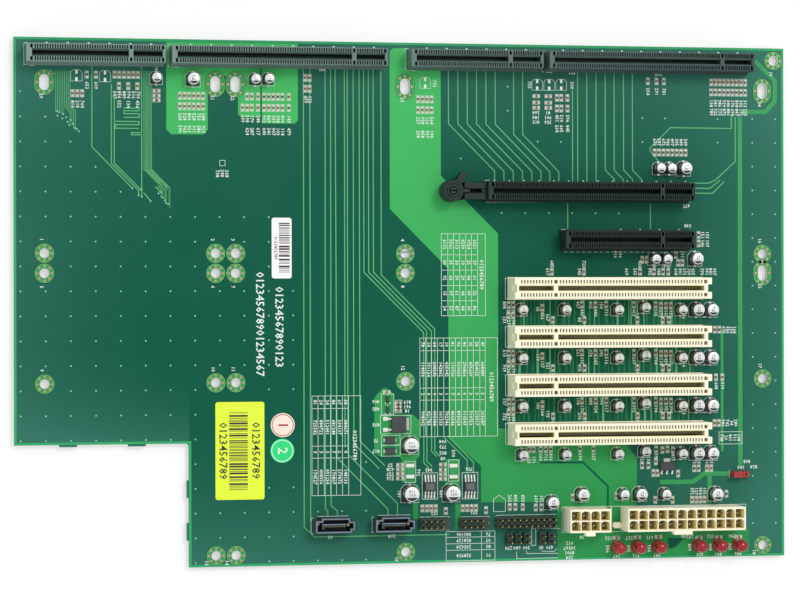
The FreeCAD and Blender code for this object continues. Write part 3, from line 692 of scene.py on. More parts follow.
    def number(self, text: str, middle: Point, size: float, foot: float, top: float, turn: float = 0.0,
               paint: int = 0) -> None:
        """Adds plain figures.

        Args:
            text: the figures.
            middle: the middle of the line.
            size: height of the figures.
            foot: their lower level.
            top: their upper level.
            turn: degrees that the line is turned.
            paint: number of their finish.
        """
        words = bpy.data.curves.new("figures", "FONT")
        words.body = text
        words.size = size / FIGURE_SHARE
        words.align_x, words.align_y = "CENTER", "CENTER"
        words.resolution_u = 1
        words.offset = size * FIGURE_GROWTH
        words.extrude = (top - foot) / 2.0
        holder = bpy.data.objects.new("figures", words)
        data = bpy.data.meshes.new_from_object(holder)
        data.transform(at(*middle, (foot + top) / 2.0, turn))
        part = bmesh.new()
        part.from_mesh(data)
        self.take(part, paint)
        bpy.data.meshes.remove(data)
        bpy.data.objects.remove(holder)
        bpy.data.curves.remove(words)

    def set_out(self, places: Iterable[Matrix], name: str, finishes: Sequence[Finish], slot: str,
                *nodes: str, body: str = "backplane") -> None:
        """Hands over copies of the shape as one finished piece.

        Args:
            places: where the copies go.
            name: the piece's name.
            finishes: the finishes that its faces are numbered by.
            slot: the record's material slot.
            nodes: the CAD nodes that it stands for.
            body: the body that it rides on.
        """
        whole = Shape()
        whole.stamp(self, places)
        whole.piece(name, finishes, slot, *nodes, body=body)

    def piece(self, name: str, finishes: Sequence[Finish], slot: str, *nodes: str,
              body: str = "backplane") -> None:
        """Hands the shape over as a finished piece.

        Args:
            name: the piece's name.
            finishes: the finishes that its faces are numbered by.
            slot: the record's material slot; not used.
            nodes: the CAD nodes that it stands for.
            body: the body that it rides on.
        """
        bmesh.ops.scale(self.mesh, vec=(MM, MM, MM), verts=self.mesh.verts)
        data = bpy.data.meshes.new(name)
        self.mesh.to_mesh(data)
        self.mesh.free()
        data.shade_smooth()
        data.set_sharp_from_angle(angle=SMOOTH_ANGLE)
        for finish in finishes:
            data.materials.append(finish.material())
        made = bpy.data.objects.new(name, data)
        bpy.context.scene.collection.objects.link(made)
        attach(made, body)
        if nodes:
            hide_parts(*nodes)
        LOG.info("%s: %d faces", name, len(data.polygons))


def node_box(node: str) -> Box:
    """A CAD node's lowest and highest corners in millimetres."""
    low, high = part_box(node)
    return low / MM, high / MM


def solids(node: str) -> list[Box]:
    """Finds the boxes of a CAD node's separate solids.

    Args:
        node: the node's name.

    Returns:
        Lowest and highest corner of each solid, in millimetres.
    """
    part = bmesh.new()
    part.from_mesh(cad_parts[node].data)
    bmesh.ops.remove_doubles(part, verts=part.verts, dist=NEAR * MM)
    seen: set[BMVert] = set()
    boxes = []
    for start in part.verts:
        if start in seen:
            continue
        island = [start]
        seen.add(start)
        for vert in island:
            for edge in vert.link_edges:
                other = edge.other_vert(vert)
                if other not in seen:
                    seen.add(other)
                    island.append(other)
        spots = [vert.co / MM for vert in island]
        boxes.append((Vector(map(min, zip(*spots))), Vector(map(max, zip(*spots)))))
    part.free()
    return boxes


def middle_of(box: Box) -> Point:
    """A box's middle on the board."""
    return (box[0].x + box[1].x) / 2.0, (box[0].y + box[1].y) / 2.0


@dataclass(frozen=True)
class SlotSizes:
    """Sizes of one kind of card slot, about its key."""

    pitch: float
    key_gap: float
    left_end: float
    right_end: float
    half_width: float
    foot_half: float
    foot_height: float
    height: float
    mouth_half: float
    mouth_depth: float
    mouth_margin: float
    lead_in: float
    rib_half: float
    row: float
    window: Point
    window_depth: float
    mould_hole: Point
    hole_left: float
    hole_right: float
    spring: tuple[Point, ...]
    spring_width: float
    contact_drop: float
    notches: Point
    notch_half: float
    notch_depth: float
    finish: Finish
    throat: Finish
    slot: str


class SlotKind(Enum):
    """The two kinds of card slot."""

    EDGE = SlotSizes(pitch=1.0, key_gap=2.0, left_end=2.9, right_end=2.1, half_width=3.7, foot_half=4.4,
                     foot_height=2.4, height=11.25, mouth_half=0.9, mouth_depth=8.6, mouth_margin=0.8,
                     lead_in=0.75, rib_half=0.9, row=2.5, window=(0.58, 1.6), window_depth=8.0,
                     mould_hole=(1.0, 1.6), hole_left=1.0, hole_right=0.9,
                     spring=((2.9, 3.4), (2.8, 6.2), (2.1, 7.4), (2.5, 8.2)), spring_width=0.4,
                     contact_drop=4.5, notches=(0.0, 0.0), notch_half=0.0, notch_depth=0.0, finish=BLACK,
                     throat=BLACK, slot="black_plastic")
    BUS = SlotSizes(pitch=1.27, key_gap=2.54, left_end=2.26, right_end=3.84, half_width=4.45, foot_half=4.75,
                    foot_height=1.6, height=14.5, mouth_half=1.0, mouth_depth=11.0, mouth_margin=0.6,
                    lead_in=0.4, rib_half=0.85, row=2.75, window=(0.66, 1.5), window_depth=10.0,
                    mould_hole=(1.5, 1.5), hole_left=0.0, hole_right=1.2,
                    spring=((3.2, 4.7), (3.1, 11.2), (2.3, 12.6), (2.75, 13.4)), spring_width=0.5,
                    contact_drop=1.4, notches=(0.9, 1.7), notch_half=1.6, notch_depth=6.0, finish=IVORY,
                    throat=IVORY_PAINTED_SHADE, slot="ivory_plastic")


@dataclass(frozen=True)
class CardSlot:
    """A card slot's moulding with a window for every contact, and the contacts in them."""

    name: str
    kind: SlotKind
    contacts: tuple[int, int]
    sheet: float = 0.12
    face_share: float = 0.36
    face_proud: float = 0.02
    face_sunk: float = 0.1
    tail_half: float = 0.2
    tail_taper: float = 0.25
    tail_top: float = 0.3
    tail_shift: float = 0.75
    solder_rise: float = 0.8

    @property
    def sizes(self) -> SlotSizes:
        """The sizes of its kind."""
        return self.kind.value

    def ends(self) -> Point:
        """Ends of the contact rows, left and right of the key."""
        half = self.sizes.key_gap / 2.0
        return -half - self.contacts[0] * self.sizes.pitch, half + self.contacts[1] * self.sizes.pitch

    def columns(self) -> list[float]:
        """Lists where the contacts stand along the slot.

        Returns:
            Their places from the key.
        """
        pitch = self.sizes.pitch
        first = (self.sizes.key_gap + pitch) / 2.0
        left = [-first - index * pitch for index in range(self.contacts[0])]
        return left + [first + index * pitch for index in range(self.contacts[1])]

    def origin(self) -> tuple[float, float, float]:
        """The key's place on the board, from the housing's node."""
        low, high = node_box(f"{self.name}_housing")
        return low.x + self.sizes.left_end - self.ends()[0], (low.y + high.y) / 2.0, BOARD_TOP

    def openings(self) -> list[tuple[float, float, float]]:
        """Middle, length and width of every opening in a contact row.

        Returns:
            The contact windows and the larger holes that the mould leaves beside them.
        """
        size, (left, right) = self.sizes, self.ends()
        holes = [0.0, right + size.hole_right] + ([left - size.hole_left] if size.hole_left else [])
        return [(x, *size.window) for x in self.columns()] + [(x, *size.mould_hole) for x in holes]

    def moulding(self) -> Shape:
        """Models the housing about its key.

        Returns:
            The housing, standing on nought.
        """
        size = self.sizes
        left, right = self.ends()
        start, stop = left - size.left_end, right + size.right_end
        near, far = start + size.notches[0], stop - size.notches[1]
        part = block((near, -size.half_width, 0.0), (far, size.half_width, size.height))
        openings = self.openings()
        mouths = ((left - size.mouth_margin, -size.rib_half), (size.rib_half, right + size.mouth_margin))
        levels = {round(x + side * length / 2.0, 4) for x, length, _ in openings for side in (-1, 1)}
        levels |= {level for mouth in mouths for level in mouth}
        cut(part, 0, levels)
        band = size.mouth_half + size.lead_in
        across = {size.mouth_half, band}
        across |= {size.row + side * width / 2.0 for _, _, width in openings for side in (-1, 1)}
        cut(part, 1, {sign * level for level in across for sign in (-1.0, 1.0)})
        cut(part, 2, [size.foot_height])

        def windowed(spot: Vector) -> bool:
            """True in an opening of a contact row."""
            aside = abs(abs(spot.y) - size.row)
            return any(abs(spot.x - x) < length / 2.0 and aside < width / 2.0
                       for x, length, width in openings)

        def led_in(spot: Vector) -> bool:
            """True in the card's mouth or its lead-in."""
            return abs(spot.y) < band and any(low < spot.x < high for low, high in mouths)

        def mouthed(spot: Vector) -> bool:
            """True in the card's mouth."""
            return abs(spot.y) < size.mouth_half and led_in(spot)

        shift_region(part, level_faces(part, size.height, windowed), (0.0, 0.0, -size.window_depth))
        ledge = size.height - size.lead_in
        shift_region(part, level_faces(part, size.height, led_in), (0.0, 0.0, -size.lead_in))
        shift_region(part, level_faces(part, ledge, mouthed), (0.0, 0.0, size.lead_in - size.mouth_depth))
        for vert in part.verts:
            if same(vert.co.z, ledge) and same(abs(vert.co.y), band):
                vert.co.z = size.height
        bmesh.ops.remove_doubles(part, verts=part.verts, dist=NEAR)
        for sign in (-1.0, 1.0):
            feet = [face for face in part.faces if face.normal.y * sign > FACING
                    and same(face.calc_center_median().y * sign, size.half_width)
                    and face.calc_center_median().z < size.foot_height]
            shift_region(part, feet, (0.0, sign * (size.foot_half - size.half_width), 0.0))
        face_out(part)
        self.ease(part)
        made = Shape()
        made.take(part)
        # Faces in the mouth and its lead-in take the second finish, for the host and bus slots a painted
        # shade.
        for face in made.mesh.faces:
            spot = face.calc_center_median()
            inside = abs(spot.y) < band and mouths[0][0] - NEAR < spot.x < mouths[1][1] + NEAR
            face.material_index = int(inside and NEAR < spot.z < size.height - NEAR)
        if size.notch_depth:
            for low, high in ((start, near), (far, stop)):
                made.box((low, -size.foot_half, 0.0), (high, size.foot_half, size.foot_height))
                made.box((low, -size.notch_half, size.foot_height),
                         (high, size.notch_half, size.height - size.notch_depth))
                for side in (-1.0, 1.0):
                    inner, outer = sorted((side * size.notch_half, side * size.half_width))
                    made.box((low, inner, size.foot_height), (high, outer, size.height))
        return made

    def ease(self, part: BMesh) -> None:
        """Breaks the outer top edges.

        Args:
            part: the housing's mesh.
        """
        tops = [edge for edge in part.edges
                if all(same(vert.co.z, self.sizes.height) for vert in edge.verts)]
        rims = [edge for edge in tops
                if all(same(abs(vert.co.y), self.sizes.half_width) for vert in edge.verts)
                and any(abs(face.normal.y) > FACING for face in edge.link_faces)]
        bevel(part, rims, RIM_BREAK)

    def springs(self) -> Shape:
        """Models the contacts about the key: a spring in each window, and a soldered tail below.

        Returns:
            The contacts, the board's top at nought.
        """
        size, spring, tail, made = self.sizes, Shape(), Shape(), Shape()
        spring.strip(size.spring, size.spring_width, self.sheet)
        face, reach, half = size.mouth_half, size.pitch * self.face_share, self.tail_half
        spring.box((-reach, face - self.face_sunk, size.height - size.mouth_depth),
                   (reach, face + self.face_proud, size.height - size.contact_drop), 2)
        back, tip = BOARD_BACK - BOARD_TOP, TAIL_TIP - BOARD_TOP
        tail.box((-half, -half, tip + self.tail_taper), (half, half, self.tail_top), 1)
        tail.drum((0.0, 0.0), tip, tip + self.tail_taper, 0.1, 0.27, 4, 1)
        tail.drum((0.0, 0.0), back - self.solder_rise, back + SOLDER_SINK, 0.26, 0.62, 6, 1)
        columns = self.columns()
        made.stamp(spring, [at(x, 0.0, 0.0, turn) for x in columns for turn in (0.0, 180.0)])
        for number, x in enumerate(columns):
            aside = size.row + (self.tail_shift if number % 2 else -self.tail_shift)
            made.stamp(tail, [at(x, aside), at(x, -aside)])
        return made


def make_slots() -> None:
    """Models each shape of card slot once and sets it at every place it is used."""
    wide, narrow, bus = (71, 11), (38, 11), (11, 49)
    rows = [("host_slot_a", SlotKind.EDGE, wide), ("host_slot_b", SlotKind.EDGE, narrow),
            ("host_slot_c", SlotKind.EDGE, wide), ("host_slot_d", SlotKind.EDGE, narrow),
            ("long_slot", SlotKind.EDGE, wide), ("short_slot", SlotKind.EDGE, narrow)]
    rows += [(f"bus_slot_{count}", SlotKind.BUS, bus) for count in range(1, 5)]
    models: dict[tuple, tuple[Shape, Shape]] = {}
    for name, kind, contacts in rows:
        slot = CardSlot(name, kind, contacts)
        if (kind, contacts) not in models:
            models[kind, contacts] = (slot.moulding(), slot.springs())
        moulding, springs = models[kind, contacts]
        places = [Matrix.Translation(slot.origin())]
        # Host slots wear painted glare on their tops and painted shade in their mouths.
        finishes = [BLACK_WITH_PAINTED_GLARE, HOST_MOUTH_SHADE] if name.startswith("host") else [slot.sizes.finish, slot.sizes.throat]
        moulding.set_out(places, f"{name}_housing_detail", finishes, slot.sizes.slot, f"{name}_housing")
        springs.set_out(places, f"{name}_contacts_detail", [GOLD, SOLDER, SHADED_BRASS], "gold_contact",
                        f"{name}_contacts")


@dataclass(frozen=True)
class PowerHeader:
    """A two-row power header: a block with keyed wells, its catch, its board peg and its pins."""

    name: str
    columns: int
    catch: float
    catch_shift: float = 0.0
    pitch: float = 4.2
    row: float = 2.15
    half_width: float = 4.9
    margin: float = 5.0
    height: float = 12.8
    well: float = 3.85
    well_depth: float = 10.6
    corner: float = 1.3
    catch_depth: float = 1.5
    catch_height: float = 4.0
    peg: tuple[float, float, float] = (-4.1, -1.5, 3.0)
    taper: float = 0.5
    solder: float = 1.5

    def places(self) -> list[Point]:
        """Middles of the wells about the header's own middle."""
        first = -self.pitch * (self.columns - 1) / 2.0
        return [(first + column * self.pitch, side * self.row) for column in range(self.columns)
                for side in (-1, 1)]

    def is_square(self, place: Point) -> bool:
        """Whether a well keeps its square corners."""
        column = round(place[0] / self.pitch + (self.columns - 1) / 2.0)
        return (column % 4 in (0, 3)) == (place[1] > 0.0)

    def rounding(self, x: float, y: float, side: float) -> list[Point]:
        """Outlines the filling of a well's rounded corner: the corner and an arc across it."""
        turns = [step * math.pi / 8.0 for step in range(5)]
        return [(x, y)] + [(x - side * self.corner * (1.0 - math.cos(turn)),
                            y - self.corner * (1.0 - math.sin(turn)))
                           for turn in turns]

    def build(self) -> None:
        """Models the block and hands it over with its pins."""
        middle_x, middle_y = middle_of(node_box(f"{self.name}_pins"))
        half, long = self.well / 2.0, (self.pitch * (self.columns - 1) + self.margin) / 2.0
        part = block((-long, -self.half_width, 0.0), (long, self.half_width, self.height))
        places = self.places()
        cut(part, 0, {round(x + side * half, 4) for x, _ in places for side in (-1, 1)})
        cut(part, 1, {round(y + side * half, 4) for _, y in places for side in (-1, 1)})

        def in_well(spot: Vector) -> bool:
            """True over a well."""
            return any(abs(spot.x - x) < half + NEAR and abs(spot.y - y) < half + NEAR for x, y in places)

        shift_region(part, level_faces(part, self.height, in_well), (0.0, 0.0, -self.well_depth))
        rim = [edge for edge in part.edges if all(same(vert.co.z, self.height) for vert in edge.verts)
               and any(all(same(abs(vert.co[axis]), reach) for vert in edge.verts)
                       for axis, reach in ((0, long), (1, self.half_width)))]
        bevel(part, rim, RIM_BREAK)
        made = Shape()
        made.take(part)
        # Faces inside the wells take the second finish, a painted shade.
        for face in made.mesh.faces:
            spot = face.calc_center_median()
            face.material_index = int(in_well(spot) and self.height - 0.5 > spot.z > 0.5)
        for x, y in places:
            if not self.is_square((x, y)):
                for side in (-1.0, 1.0):
                    made.patch(self.rounding(x + side * half, y + half, side), self.height - self.well_depth,
                               self.height)
        made.box((self.catch_shift - self.catch / 2.0, -self.half_width - self.catch_depth,
                  self.height - self.catch_height),
                 (self.catch_shift + self.catch / 2.0, -self.half_width + 0.1, self.height - 0.2), 0, 0.3)
        end = node_box(f"{self.name}_housing")[0].x - middle_x
        if end < -long - NEAR:
            made.box((end, self.peg[0], 0.0), (-long + 0.1, self.peg[1], self.peg[2]), 0, 0.7)
        made.set_out([at(middle_x, middle_y, BOARD_TOP)], f"{self.name}_block", [IVORY, IVORY_PAINTED_SHADE],
                     "ivory_plastic", f"{self.name}_housing")
        make_pins(f"{self.name}_pins", self.taper, self.solder, TIN, "tinned_pin")


def make_pins(node: str, taper: float, solder: float, finish: Finish, slot: str) -> None:
    """Models square pins with tapered tips and solder on the board's back.

    Args:
        node: the CAD node of the pins.
        taper: length of each tip.
        solder: radius of a solder cone.
        finish: the pins' plating.
        slot: the record's material slot.
    """
    made = Shape()
    for low, high in solids(node):
        x, y = middle_of((low, high))
        half = (high.x - low.x) / 2.0
        reach = half * math.sqrt(2.0)
        made.box((low.x, low.y, low.z + taper), (high.x, high.y, high.z - taper), 2)
        made.drum((x, y), high.z - taper, high.z, reach, reach * PIN_TIP, 4)
        made.drum((x, y), low.z, low.z + taper, reach * PIN_TIP, reach, 4)
        made.solder((x, y), BOARD_BACK, half * SOLDER_GRIP, solder, 10)
    made.piece(f"{node}_detail", [finish, SOLDER, SHADED_BRASS], slot, node)


@dataclass(frozen=True)
class PinHeader:
    """Header strips whose bases are notched between their pins."""

    bases: tuple[str, ...]
    pins: str
    finish: Finish = HEADER
    slot: str = "black_plastic"
    pitch: float = 2.54
    corner: float = 0.45
    taper: float = 0.35
    solder: float = 0.95

    def build(self) -> None:
        """Models the bases cell by cell, and the pins."""
        cell = Shape()
        part = bmesh.new()
        bmesh.ops.create_cube(part, size=self.pitch)
        bevel(part, [edge for edge in part.edges if abs(edge.verts[0].co.z - edge.verts[1].co.z) > 1.0],
              self.corner)
        cell.take(part)
        for node in self.bases:
            made = Shape()
            for low, high in solids(node):
                columns, rows = (round(extent / self.pitch) for extent in (high - low).xy)
                first = low + Vector((1.0, 1.0, 1.0)) * (self.pitch / 2.0)
                made.stamp(cell, [at(first.x + column * self.pitch, first.y + row * self.pitch, first.z)
                                  for column in range(columns) for row in range(rows)])
            made.piece(f"{node}_cells", [self.finish], self.slot, node)
        make_pins(self.pins, self.taper, self.solder, GOLD, "gold_pin")


@dataclass(frozen=True)
class DrivePort:
    """A drive port: a stepped shell round a keyed tongue with seven contacts."""

    name: str
    wall: float = 0.9
    depth: float = 7.0
    left_step: Point = (2.5, 1.05)
    right_step: Point = (2.0, 1.4)
    foot_step: Point = (1.3, 1.2)
    tongue: Point = (-5.6, 4.4)
    tongue_top: float = 0.7
    tongue_thick: float = 1.1
    key: float = 2.3
    contact_pitch: float = 1.27
    worn: float = 0.42
    tail_row: float = 1.2
    pegs: tuple[Point, Point] = ((-7.3, 0.8), (5.3, 0.35))
    peg: float = 0.6
    contact_half: float = 0.35

    def outline(self, wall: float) -> list[Point]:
        """Outlines the shell.

        Args:
            wall: how far the outline is moved inwards.

        Returns:
            Its corners on the board.
        """
        low, high = node_box(f"{self.name}_housing")
        left, right, foot, top = low.x + wall, high.x - wall, low.y + wall, high.y - wall
        (left_in, left_down), (right_in, right_down) = self.left_step, self.right_step
        foot_in, foot_up = self.foot_step
        return [(left, foot), (right - foot_in, foot), (right - foot_in, foot + foot_up),
                (right, foot + foot_up), (right, top - right_down), (right - right_in, top - right_down),
                (right - right_in, top), (left + left_in, top), (left + left_in, top - left_down),
                (left, top - left_down)]

    def walls(self, made: Shape, foot: float, top: float) -> None:
        """Adds the shell's walls between two levels.

        Args:
            made: the shape to add to.
            foot: the lower level.
            top: the upper level.
        """
        part = bmesh.new()
        outer, inner = ([part.verts.new((x, y, foot)) for x, y in self.outline(wall)]
                        for wall in (0.0, self.wall))
        for here in range(len(outer)):
            part.faces.new((outer[here - 1], outer[here], inner[here], inner[here - 1]))
        made.raise_flat(part, top - foot, 0)

    def build(self, contacts: Shape) -> None:
        """Models the shell and the tongue, and adds the contacts to their common shape.

        Args:
            contacts: the shape that takes both ports' contacts.
        """
        low, high = node_box(f"{self.name}_housing")
        x, y = middle_of((low, high))
        floor = high.z - self.depth
        made = Shape()
        made.patch(self.outline(0.0), low.z, floor)
        self.walls(made, floor, high.z)
        # A painted sheen along the top of the shell's walls.
        made.ribbon(self.outline(self.wall / 2.0), self.worn, high.z - 0.02, high.z + 0.03, 1, True)
        near, far, top = x + self.tongue[0], x + self.tongue[1], y + self.tongue_top
        face = top - self.tongue_thick
        made.patch([(near, top), (near, top - self.key), (near + self.tongue_thick, top - self.key),
                    (near + self.tongue_thick, face), (far, face), (far, top)], floor - 0.1, high.z - 0.3)
        made.box((near, top - 0.35, high.z - 0.35), (far, top, high.z - 0.27), 1)
        for aside, ahead in self.pegs:
            made.drum((x + aside, y + ahead), floor, high.z + 0.02, self.peg, self.peg, 12, 2)
        made.piece(f"{self.name}_shell", [PORT, RIM_SHEEN, CERAMIC], "black_plastic", f"{self.name}_housing")
        for step in range(-3, 4):
            spot = (near + self.tongue_thick + far) / 2.0 + step * self.contact_pitch
            contacts.box((spot - self.contact_half, face - 0.2, floor + 0.2),
                         (spot + self.contact_half, face + 0.05, high.z - 0.5), 0, 0.08)
            contacts.solder((spot, y + (self.tail_row if step % 2 else -self.tail_row)), BOARD_BACK, 0.3,
                            0.75, 8)


@dataclass(frozen=True)
class Latch:
    """The card latch: a railed bracket, and a lever with a ridged head that turns on its post."""

    hub: Point = (16.9, 46.6)
    floor: float = 2.0
    rail_top: float = 8.5
    half_width: float = 3.6
    gap_half: float = 0.8
    rail_start: float = 4.9
    floor_reach: float = 3.0
    head: float = 4.6
    bore: float = 1.7
    post: float = 1.4
    top: float = 10.2
    tab_angle: float = 56.0
    tab_reach: float = 9.1
    tab_half: float = 1.3
    tab_foot: float = 4.0
    tab_top: float = 9.2
    ridge_start: float = 1.4
    ridge_pitch: float = 0.9
    ridge_proud: float = 0.15
    arm_start: float = 3.2
    nose_reach: float = 7.2
    nose_half: float = 0.75
    nose_foot: float = 8.8
    nose_top: float = 9.7
    slit_half: float = 0.25
    slit_depth: float = 3.0

    def bracket(self) -> None:
        """Models the floor, the two rails with their groove, and the slit post."""
        reach = node_box("latch_bracket")[1].x - self.hub[0]
        made = Shape()
        made.box((0.8, -self.half_width, 0.0), (reach, self.half_width, self.floor), 0, 0.25)
        turns = [math.pi * (0.5 + step / 12.0) for step in range(13)]
        bow = [(self.half_width * math.cos(turn) - self.floor_reach + self.half_width,
                self.half_width * math.sin(turn)) for turn in turns]
        made.patch(bow + [(1.0, -self.half_width), (1.0, self.half_width)], 0.0, self.floor)
        for low, high in ((self.gap_half, self.half_width), (-self.half_width, -self.gap_half)):
            made.box((self.rail_start, low, self.floor - 0.3), (reach, high, self.rail_top), 0, 0.35)
        made.box((reach - 2.2, -self.gap_half - 0.1, self.floor - 0.3),
                 (reach, self.gap_half + 0.1, self.rail_top - 0.6))
        for side in (-1.0, 1.0):
            made.box((self.rail_start + 1.2, side * 2.1 - 0.3, self.rail_top - 0.2),
                     (reach - 1.0, side * 2.1 + 0.3, self.rail_top + 0.15), 0, 0.1)
        part = bmesh.new()
        bmesh.ops.create_cone(part, cap_ends=True, segments=24, radius1=self.post, radius2=self.post,
                              depth=self.top, matrix=Matrix.Translation((0.0, 0.0, self.top / 2.0)))
        cut(part, 1, (-self.slit_half, self.slit_half))
        slit = level_faces(part, self.top, lambda spot: abs(spot.y) < self.slit_half)
        shift_region(part, slit, (0.0, 0.0, -self.slit_depth))
        face_out(part)
        made.take(part)
        made.set_out([at(*self.hub, BOARD_TOP)], "latch_bracket_detail", [BLACK], "black_plastic",
                     "latch_bracket")

    def lever(self) -> None:
        """Models the turning head with its rings, the finger tab and the nose over the slot's end."""
        made, tab = Shape(), Shape()
        low, top = self.floor + 0.3, self.top
        made.turned([(self.bore, low), (self.head - 0.3, low), (self.head, low + 0.3),
                     (self.head, top - 0.9), (self.head - 0.4, top - 0.45), (3.75, top - 0.45),
                     (3.6, top - 0.1), (3.1, top - 0.1), (2.95, top - 0.5), (2.6, top - 0.5), (2.45, top),
                     (self.bore + 0.15, top), (self.bore, top - 0.2)], 40, 0, True)
        part = block((self.arm_start, -self.tab_half, self.tab_foot),
                     (self.tab_reach, self.tab_half, self.tab_top))
        tip = [edge for edge in part.edges if all(vert.co.x > self.tab_reach - NEAR for vert in edge.verts)
               and abs(edge.verts[0].co.z - edge.verts[1].co.z) > 1.0]
        bevel(part, tip, 0.9, 4)
        tab.take(part)
        side = self.tab_half + self.ridge_proud
        for step in range(3):
            spot = self.tab_reach - self.ridge_start - step * self.ridge_pitch
            tab.box((spot, -side, self.tab_foot + 0.4), (spot + 0.4, side, self.tab_top - 0.2), 0, 0.1)
        made.stamp(tab, [at(0.0, 0.0, 0.0, self.tab_angle)])
        made.box((self.arm_start, -self.nose_half, self.nose_foot),
                 (self.nose_reach, self.nose_half, self.nose_top), 0, 0.2)
        made.set_out([at(*self.hub, BOARD_TOP)], "latch_lever_detail", [BLACK], "black_plastic",
                     "latch_lever", body="latch")


@dataclass(frozen=True)
class Lamps:
    """Round red lamps with a flange, a dome and their lead frame inside."""

    flange: float = 0.3
    flange_top: float = 0.9
    least_radius: float = 2.5
    dome: float = 0.8
    lead: float = 1.27

    def build(self) -> None:
        """Models one lamp and sets it at each place."""
        boxes = solids("led_lenses")
        radius, height = (boxes[0][1].y - boxes[0][0].y) / 2.0, boxes[0][1].z - boxes[0][0].z
        radius = max(radius, self.least_radius)
        lens, inside = Shape(), Shape()
        crown = height - radius * self.dome
        turns = [step * math.pi / 14.0 for step in range(7)]
        dome = [(radius * math.cos(turn), crown + (height - crown) * math.sin(turn)) for turn in turns]
        rim = radius + self.flange
        lens.turned([(0.0, 0.0), (rim, 0.0), (rim, self.flange_top), (radius, self.flange_top + 0.1)] + dome
                    + [(0.0, height)], 24)
        inside.box((-1.5, -0.25, 0.3), (-0.5, 0.25, 3.4))
        inside.box((0.6, -0.25, 0.3), (1.4, 0.25, 4.2))
        inside.drum((-1.0, 0.0), 3.4, 4.3, 0.5, 0.95, 12)
        for side in (-self.lead, self.lead):
            inside.box((side - 0.25, -0.25, TAIL_TIP - BOARD_TOP), (side + 0.25, 0.25, 0.3))
            inside.solder((side, 0.0), BOARD_BACK - BOARD_TOP, 0.35, 0.95, 10, 0)
        places = [at(*middle_of(box), box[0].z) for box in boxes]
        lens.set_out(places, "lamp_lenses", [RED_LENS], "red_lens", "led_lenses")
        inside.set_out(places, "lamp_lead_frames", [TIN], "tinned_pin")


@dataclass(frozen=True)
class Cans:
    """Surface capacitors of one size: a crimped can with its dark mark, on a moulded base."""

    size: str
    value: str
    crimp: float = 0.28
    shoulder: float = 0.4
    figure: float = 0.42
    chamfer: float = 0.42
    lead_half: float = 0.5
    lead_reach: float = 0.9

    def build(self) -> None:
        """Models one can and one base, and sets them at each place."""
        boxes, bases = solids(f"{self.size}_capacitor_cans"), solids(f"{self.size}_capacitor_bases")
        low, high = boxes[0]
        radius, foot, top = (high.x - low.x) / 2.0, low.z - BOARD_TOP, high.z - BOARD_TOP
        can, base = Shape(), Shape()
        can.turned([(0.0, foot), (radius - 0.15, foot), (radius, foot + 0.15), (radius, foot + 0.7),
                    (radius - self.crimp, foot + 0.9), (radius - self.crimp, foot + 1.1),
                    (radius, foot + 1.3), (radius, top - self.shoulder), (radius - 0.12, top - 0.12),
                    (radius - self.shoulder, top), (0.0, top)], 24)
        for face in can.mesh.faces:
            face.material_index = 0 if face.calc_center_median().z > top - 0.3 else 3
        rim, start = radius - self.shoulder, math.asin(0.5)
        arc = [math.pi + start + step * (math.pi - 2.0 * start) / 12.0 for step in range(13)]
        can.patch([(rim * math.cos(turn), rim * math.sin(turn)) for turn in arc], top - 0.01, top + 0.02, 1)
        for line, level in ((self.value, 0.42), (self.value[::-1], -0.08)):
            can.number(line, (0.0, radius * level), radius * self.figure, top - 0.01, top + 0.02, 180.0, 2)
        half = (bases[0][1].x - bases[0][0].x) / 2.0
        base.patch(cut_square(half, half * self.chamfer), 0.05, foot)
        for side in (-1.0, 1.0):
            inner, outer = sorted((side * half * 0.5, side * (half + self.lead_reach)))
            base.box((-self.lead_half, inner, 0.0), (self.lead_half, outer, 0.14), 1)
        spots = [at(*middle_of(box), BOARD_TOP) for box in boxes]
        can.set_out(spots, f"{self.size}_cans", [ALUMINIUM, DARK_INK, GREY_INK, CAN_WALL], "can_metal",
                    f"{self.size}_capacitor_cans")
        base.set_out(spots, f"{self.size}_can_stands", [BASE, TIN], "base_plastic",
                     f"{self.size}_capacitor_bases")


